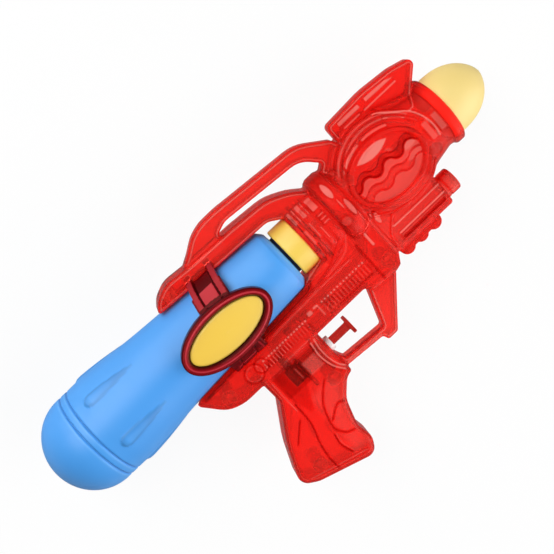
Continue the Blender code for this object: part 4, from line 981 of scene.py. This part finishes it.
def make_tank_fittings():
    end, lip = NECK_TIP + FIT + WASHER_T + FIT, CAP_FRONT + FIT + WALL + FIT
    cap = [(CAP_REAR, NECK_R + FIT), (CAP_REAR, CAP_R - 0.6), (CAP_REAR + 0.6, CAP_R),
           (CAP_FRONT - 0.6, CAP_R), (CAP_FRONT, CAP_R - 0.6), (CAP_FRONT, CAP_NECK_R), (lip, CAP_NECK_R),
           (lip, FLANGE_R), (lip + FLANGE_W, FLANGE_R), (lip + FLANGE_W, SPIGOT_R), (SPIGOT_TIP, SPIGOT_R),
           (SPIGOT_TIP, SPIGOT_BORE), (end - 8, SPIGOT_BORE), (end - 8, SPIGOT_R), (end, SPIGOT_R),
           (end, NECK_R + FIT)]
    crease(piece("cap", *lathe(soften(cap, 0.7), count=96), YELLOW, "tank_cap"))
    low, high = NECK_TIP + FIT, NECK_TIP + FIT + WASHER_T
    seal = [(low, MOUTH_R), (low, NECK_R), (high, NECK_R), (high, MOUTH_R)]
    piece("washer", *lathe(soften(seal, 0.3)), RUBBER, "tank_washer", "tank_seal")
    path = curve(((end - FIT, 0, 0), (0, 0, 0), (-50, -3.5, 0), (-110, -14, 0), (-150, -17, 0)), 10)
    piece("dip_hose", *tube(path, HOSE_R, HOSE_BORE), VINYL, "dip_tube")


def make_cone():
    start, tip, count = MUZZLE_X + 2, CONE_TIP - 0.8, 32
    nose = tip - start
    line = [(CONE_SEAT_X, CONE_R), (start, CONE_R)]
    for k in range(1, count):
        s = 1 - (1 - k / count) ** 1.6
        line.append((start + nose * s, CONE_R * (1 - s ** 2.4) ** 0.62))
    line = [p for p in line if p[1] > JET_R + 1.0] + [(tip, JET_R + 0.3), (tip, JET_R)]
    front, socket = OUTLET_X + VALVE_BODY / 2 + 1, SPIGOT_R + FIT
    line += [(CONE_TIP - 5, JET_R), (CONE_TIP - 5, socket), (front, socket), (front, socket + 1.2),
             (CONE_TIP - 9, socket + 1.2)]
    for s in (0.75, 0.5, 0.25):
        line.append((MUZZLE_X + nose * s, max(CONE_R * (1 - s ** 2.5) ** 0.75 - CONE_WALL, socket + 1.9)))
    line += [(MUZZLE_X, CONE_R - CONE_WALL), (CONE_SEAT_X, CONE_R - CONE_WALL)]
    crease(piece("cone", *lathe(line, count=96), PALE, "nozzle_cone"))


# ---- pump, trigger, valves, hoses, screws
def make_pump():
    g = Grid((-36.5, -63.2, -7.2), (-7.2, -42.2, 7.2), 0.35)
    made = g.rod(PUMP_REAR, PUMP_FRONT, PUMP_R, PUMP_U)
    bore = g.rod(PUMP_REAR + PUMP_END, 0.0, BORE_R, PUMP_U)
    for w in (-PORT_W, PORT_W):
        away = np.hypot(g.x - PORT_X, g.w - w)
        made = melt(made, both(away - SPIGOT_R, PUMP_U - g.u, g.u - PORT_TOP), 0.8)
        bore = either(bore, both(away - SPIGOT_BORE, PUMP_U + 1.9 - g.u))
    piece("pump", *g.skin(carve(made, bore)), GREY, "pump_cylinder")
    gland = [(PUMP_FRONT - 2.6, STEM_R + FIT), (PUMP_FRONT - 2.6, BORE_R - FIT),
             (PUMP_FRONT + FIT, BORE_R - FIT), (PUMP_FRONT + FIT, GLAND_R), (GLAND_FRONT, GLAND_R),
             (GLAND_FRONT, STEM_R + FIT)]
    crease(piece("gland", *lathe(soften(gland, 0.5), PUMP_U), WHITE, "pump_gland"))


def make_trigger():
    g = Grid((-20.4, -62.4, -5.6), (13.2, -49.6, 5.6), 0.3)
    back = PISTON_FRONT - PISTON_T
    groove, half = (PISTON_FRONT + back) / 2, RING_WIRE + 0.2
    made = g.rod(PISTON_FRONT - 1, BAR_X + 1, STEM_R, PUMP_U)
    made = melt(made, g.rod(back, PISTON_FRONT, PISTON_R, PUMP_U), 0.8)
    made = either(made, g.rod(back - 2.5, back + 1, ROD_R, PUMP_U))
    neck = PISTON_R - 2 * RING_WIRE - 0.1
    made = carve(made, both(np.abs(g.x - groove) - half, neck - g.round(PUMP_U)))
    flat = box_gap(g.u, g.w, PUMP_U - BAR_TALL / 2, PUMP_U + BAR_TALL / 2, -BAR_WIDE / 2, BAR_WIDE / 2, 1.5)
    made = melt(made, thick(flat, np.abs(g.x - BAR_X - BAR_T / 2), BAR_T / 2, 0.6), 0.8)
    made = piece("trigger_bar", *g.skin(made), RED, "trigger", "trigger")
    shade(made, np.where(places(made)[0][:, 0] > GLAND_FRONT, -0.7, 0.2))
    middle = PISTON_R - RING_WIRE
    ring = [(groove + RING_WIRE * cos(t), middle + RING_WIRE * sin(t)) for t in turns(16)]
    piece("piston_seal", *lathe(ring, PUMP_U, count=48), RUBBER, "piston_ring", "trigger")


def make_spring():
    start = PUMP_REAR + PUMP_END + SPRING_WIRE + 0.2
    stop = PISTON_FRONT - PISTON_T - SPRING_WIRE - 0.2
    share = np.linspace(0, 1, int(SPRING_TURNS * 28) + 1)
    turn = 2 * pi * SPRING_TURNS * share
    length = stop - start
    path = np.stack((start + length * share, PUMP_U + SPRING_R * np.cos(turn), SPRING_R * np.sin(turn)), 1)
    made = piece("spring", *tube(path, SPRING_WIRE, count=10), STEEL, "return_spring")
    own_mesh(made)


def make_valve(name, x, u, w, way):
    half = VALVE_BODY / 2
    end, seat = half + VALVE_STUB, -half + 1.6
    slope = SEAT_DEEP / (CHAMBER_R - SEAT_R)
    rest = seat + (BALL_R + 0.05) * hypot(slope, 1.0) - SEAT_R * slope
    rest = max(rest, seat + sqrt(BALL_R ** 2 - SEAT_R ** 2) + 0.05)
    stop = rest + BALL_R + LIFT + FIT
    shape = [(-end, SPIGOT_BORE), (-end, SPIGOT_R), (-half, SPIGOT_R), (-half, VALVE_R), (half, VALVE_R),
             (half, SPIGOT_R), (end, SPIGOT_R), (end, SPIGOT_BORE), (stop, SPIGOT_BORE), (stop, CHAMBER_R),
             (seat + SEAT_DEEP, CHAMBER_R), (seat, SEAT_R), (-half, SEAT_R)]
    shape = [(x + way * at, r) for at, r in soften(shape, 0.3, 3)]
    crease(piece(f"valve_{name}", *lathe(shape, u, w, 48), MILKY, f"{name}_valve"))
    ball = []
    for k in range(17):
        t = pi * k / 16
        ball.append((x + way * rest - BALL_R * cos(t), BALL_R * sin(t) if 0 < k < 16 else 0.0))
    piece(f"ball_{name}", *lathe(ball, u, w, 32), STEEL, f"{name}_ball", f"{name}_ball")


def make_hoses():
    reach = VALVE_BODY / 2 + FIT
    rear, front = INLET_X - reach, INLET_X + reach
    lip = CAP_FRONT + 2 * FIT + WALL + FLANGE_W + FIT
    paths = {
        "suction": [(lip + 2.5, 0, 0), (SPIGOT_TIP, 0, 0), (43, -0.8, 0.5), (48.5, -6, 2), (50, -15, 4),
                    (46.5, -25.5, LINE_W), *((x, LINE_U, LINE_W) for x in (37, 10, front))],
        "feed": [(rear, LINE_U, LINE_W), (rear - 5, LINE_U, LINE_W), (PORT_X + 3.5, LINE_U - 2, LINE_W - 0.3),
                 *((PORT_X, PORT_TOP + high, PORT_W) for high in (3, 0, -4))],
        "delivery": [*((PORT_X, PORT_TOP + high, -PORT_W) for high in (-4, 0, 3)),
                     (PORT_X + 4, LINE_U - 1.6, -LINE_W),
                     *((x, LINE_U, -LINE_W) for x in (PORT_X + 13, 10, 38)),
                     (47, -27, -5), (51.5, -16, -5), (58, -8, -4.5), (69, -2, -2.5), (84, 0, 0),
                     (OUTLET_X - reach - VALVE_STUB, 0, 0), (OUTLET_X - reach, 0, 0)],
    }
    for name, path in paths.items():
        piece(f"hose_{name}", *tube(curve(path, 7), HOSE_R, HOSE_BORE), VINYL, f"{name}_hose")


def make_screws():
    """Pan heads with a cross recess, on plain shanks."""
    for n, (x, u, seat) in enumerate(SCREWS, 1):
        top = -seat - HEAD_T
        g = Grid((x - 2.8, u - 2.8, top - 0.4), (x + 2.8, u + 2.8, SCREW_BITE + 0.5), 0.2)
        away = g.tall(np.hypot(g.X - x, g.U - u))
        head = thick(away - HEAD_R, np.abs(g.w - (top - seat) / 2 + 0.025), HEAD_T / 2 - 0.025, 0.6)
        shank = both(away - SHANK_R, top + 1 - g.w, g.w - SCREW_BITE + np.maximum(away - 0.4, 0))
        recess = either(box_gap(g.X, g.U, x - 1.3, x + 1.3, u - 0.32, u + 0.32),
                        box_gap(g.X, g.U, x - 0.32, x + 0.32, u - 1.3, u + 1.3))
        made = carve(either(head, shank), both(g.tall(recess), g.w - top - 0.9))
        piece(f"fastener_{n}", *g.skin(made), ZINC, f"screw_{n}")


make_camera()
make_stage()
make_shells()
make_brackets()
make_badges()
make_bottle()
make_tank_fittings()
make_cone()
make_pump()
make_trigger()
make_spring()
make_valve("inlet", INLET_X, LINE_U, LINE_W, -1)
make_valve("outlet", OUTLET_X, 0.0, 0.0, 1)
make_hoses()
make_screws()
bpy.context.scene.view_settings.view_transform = "Standard"
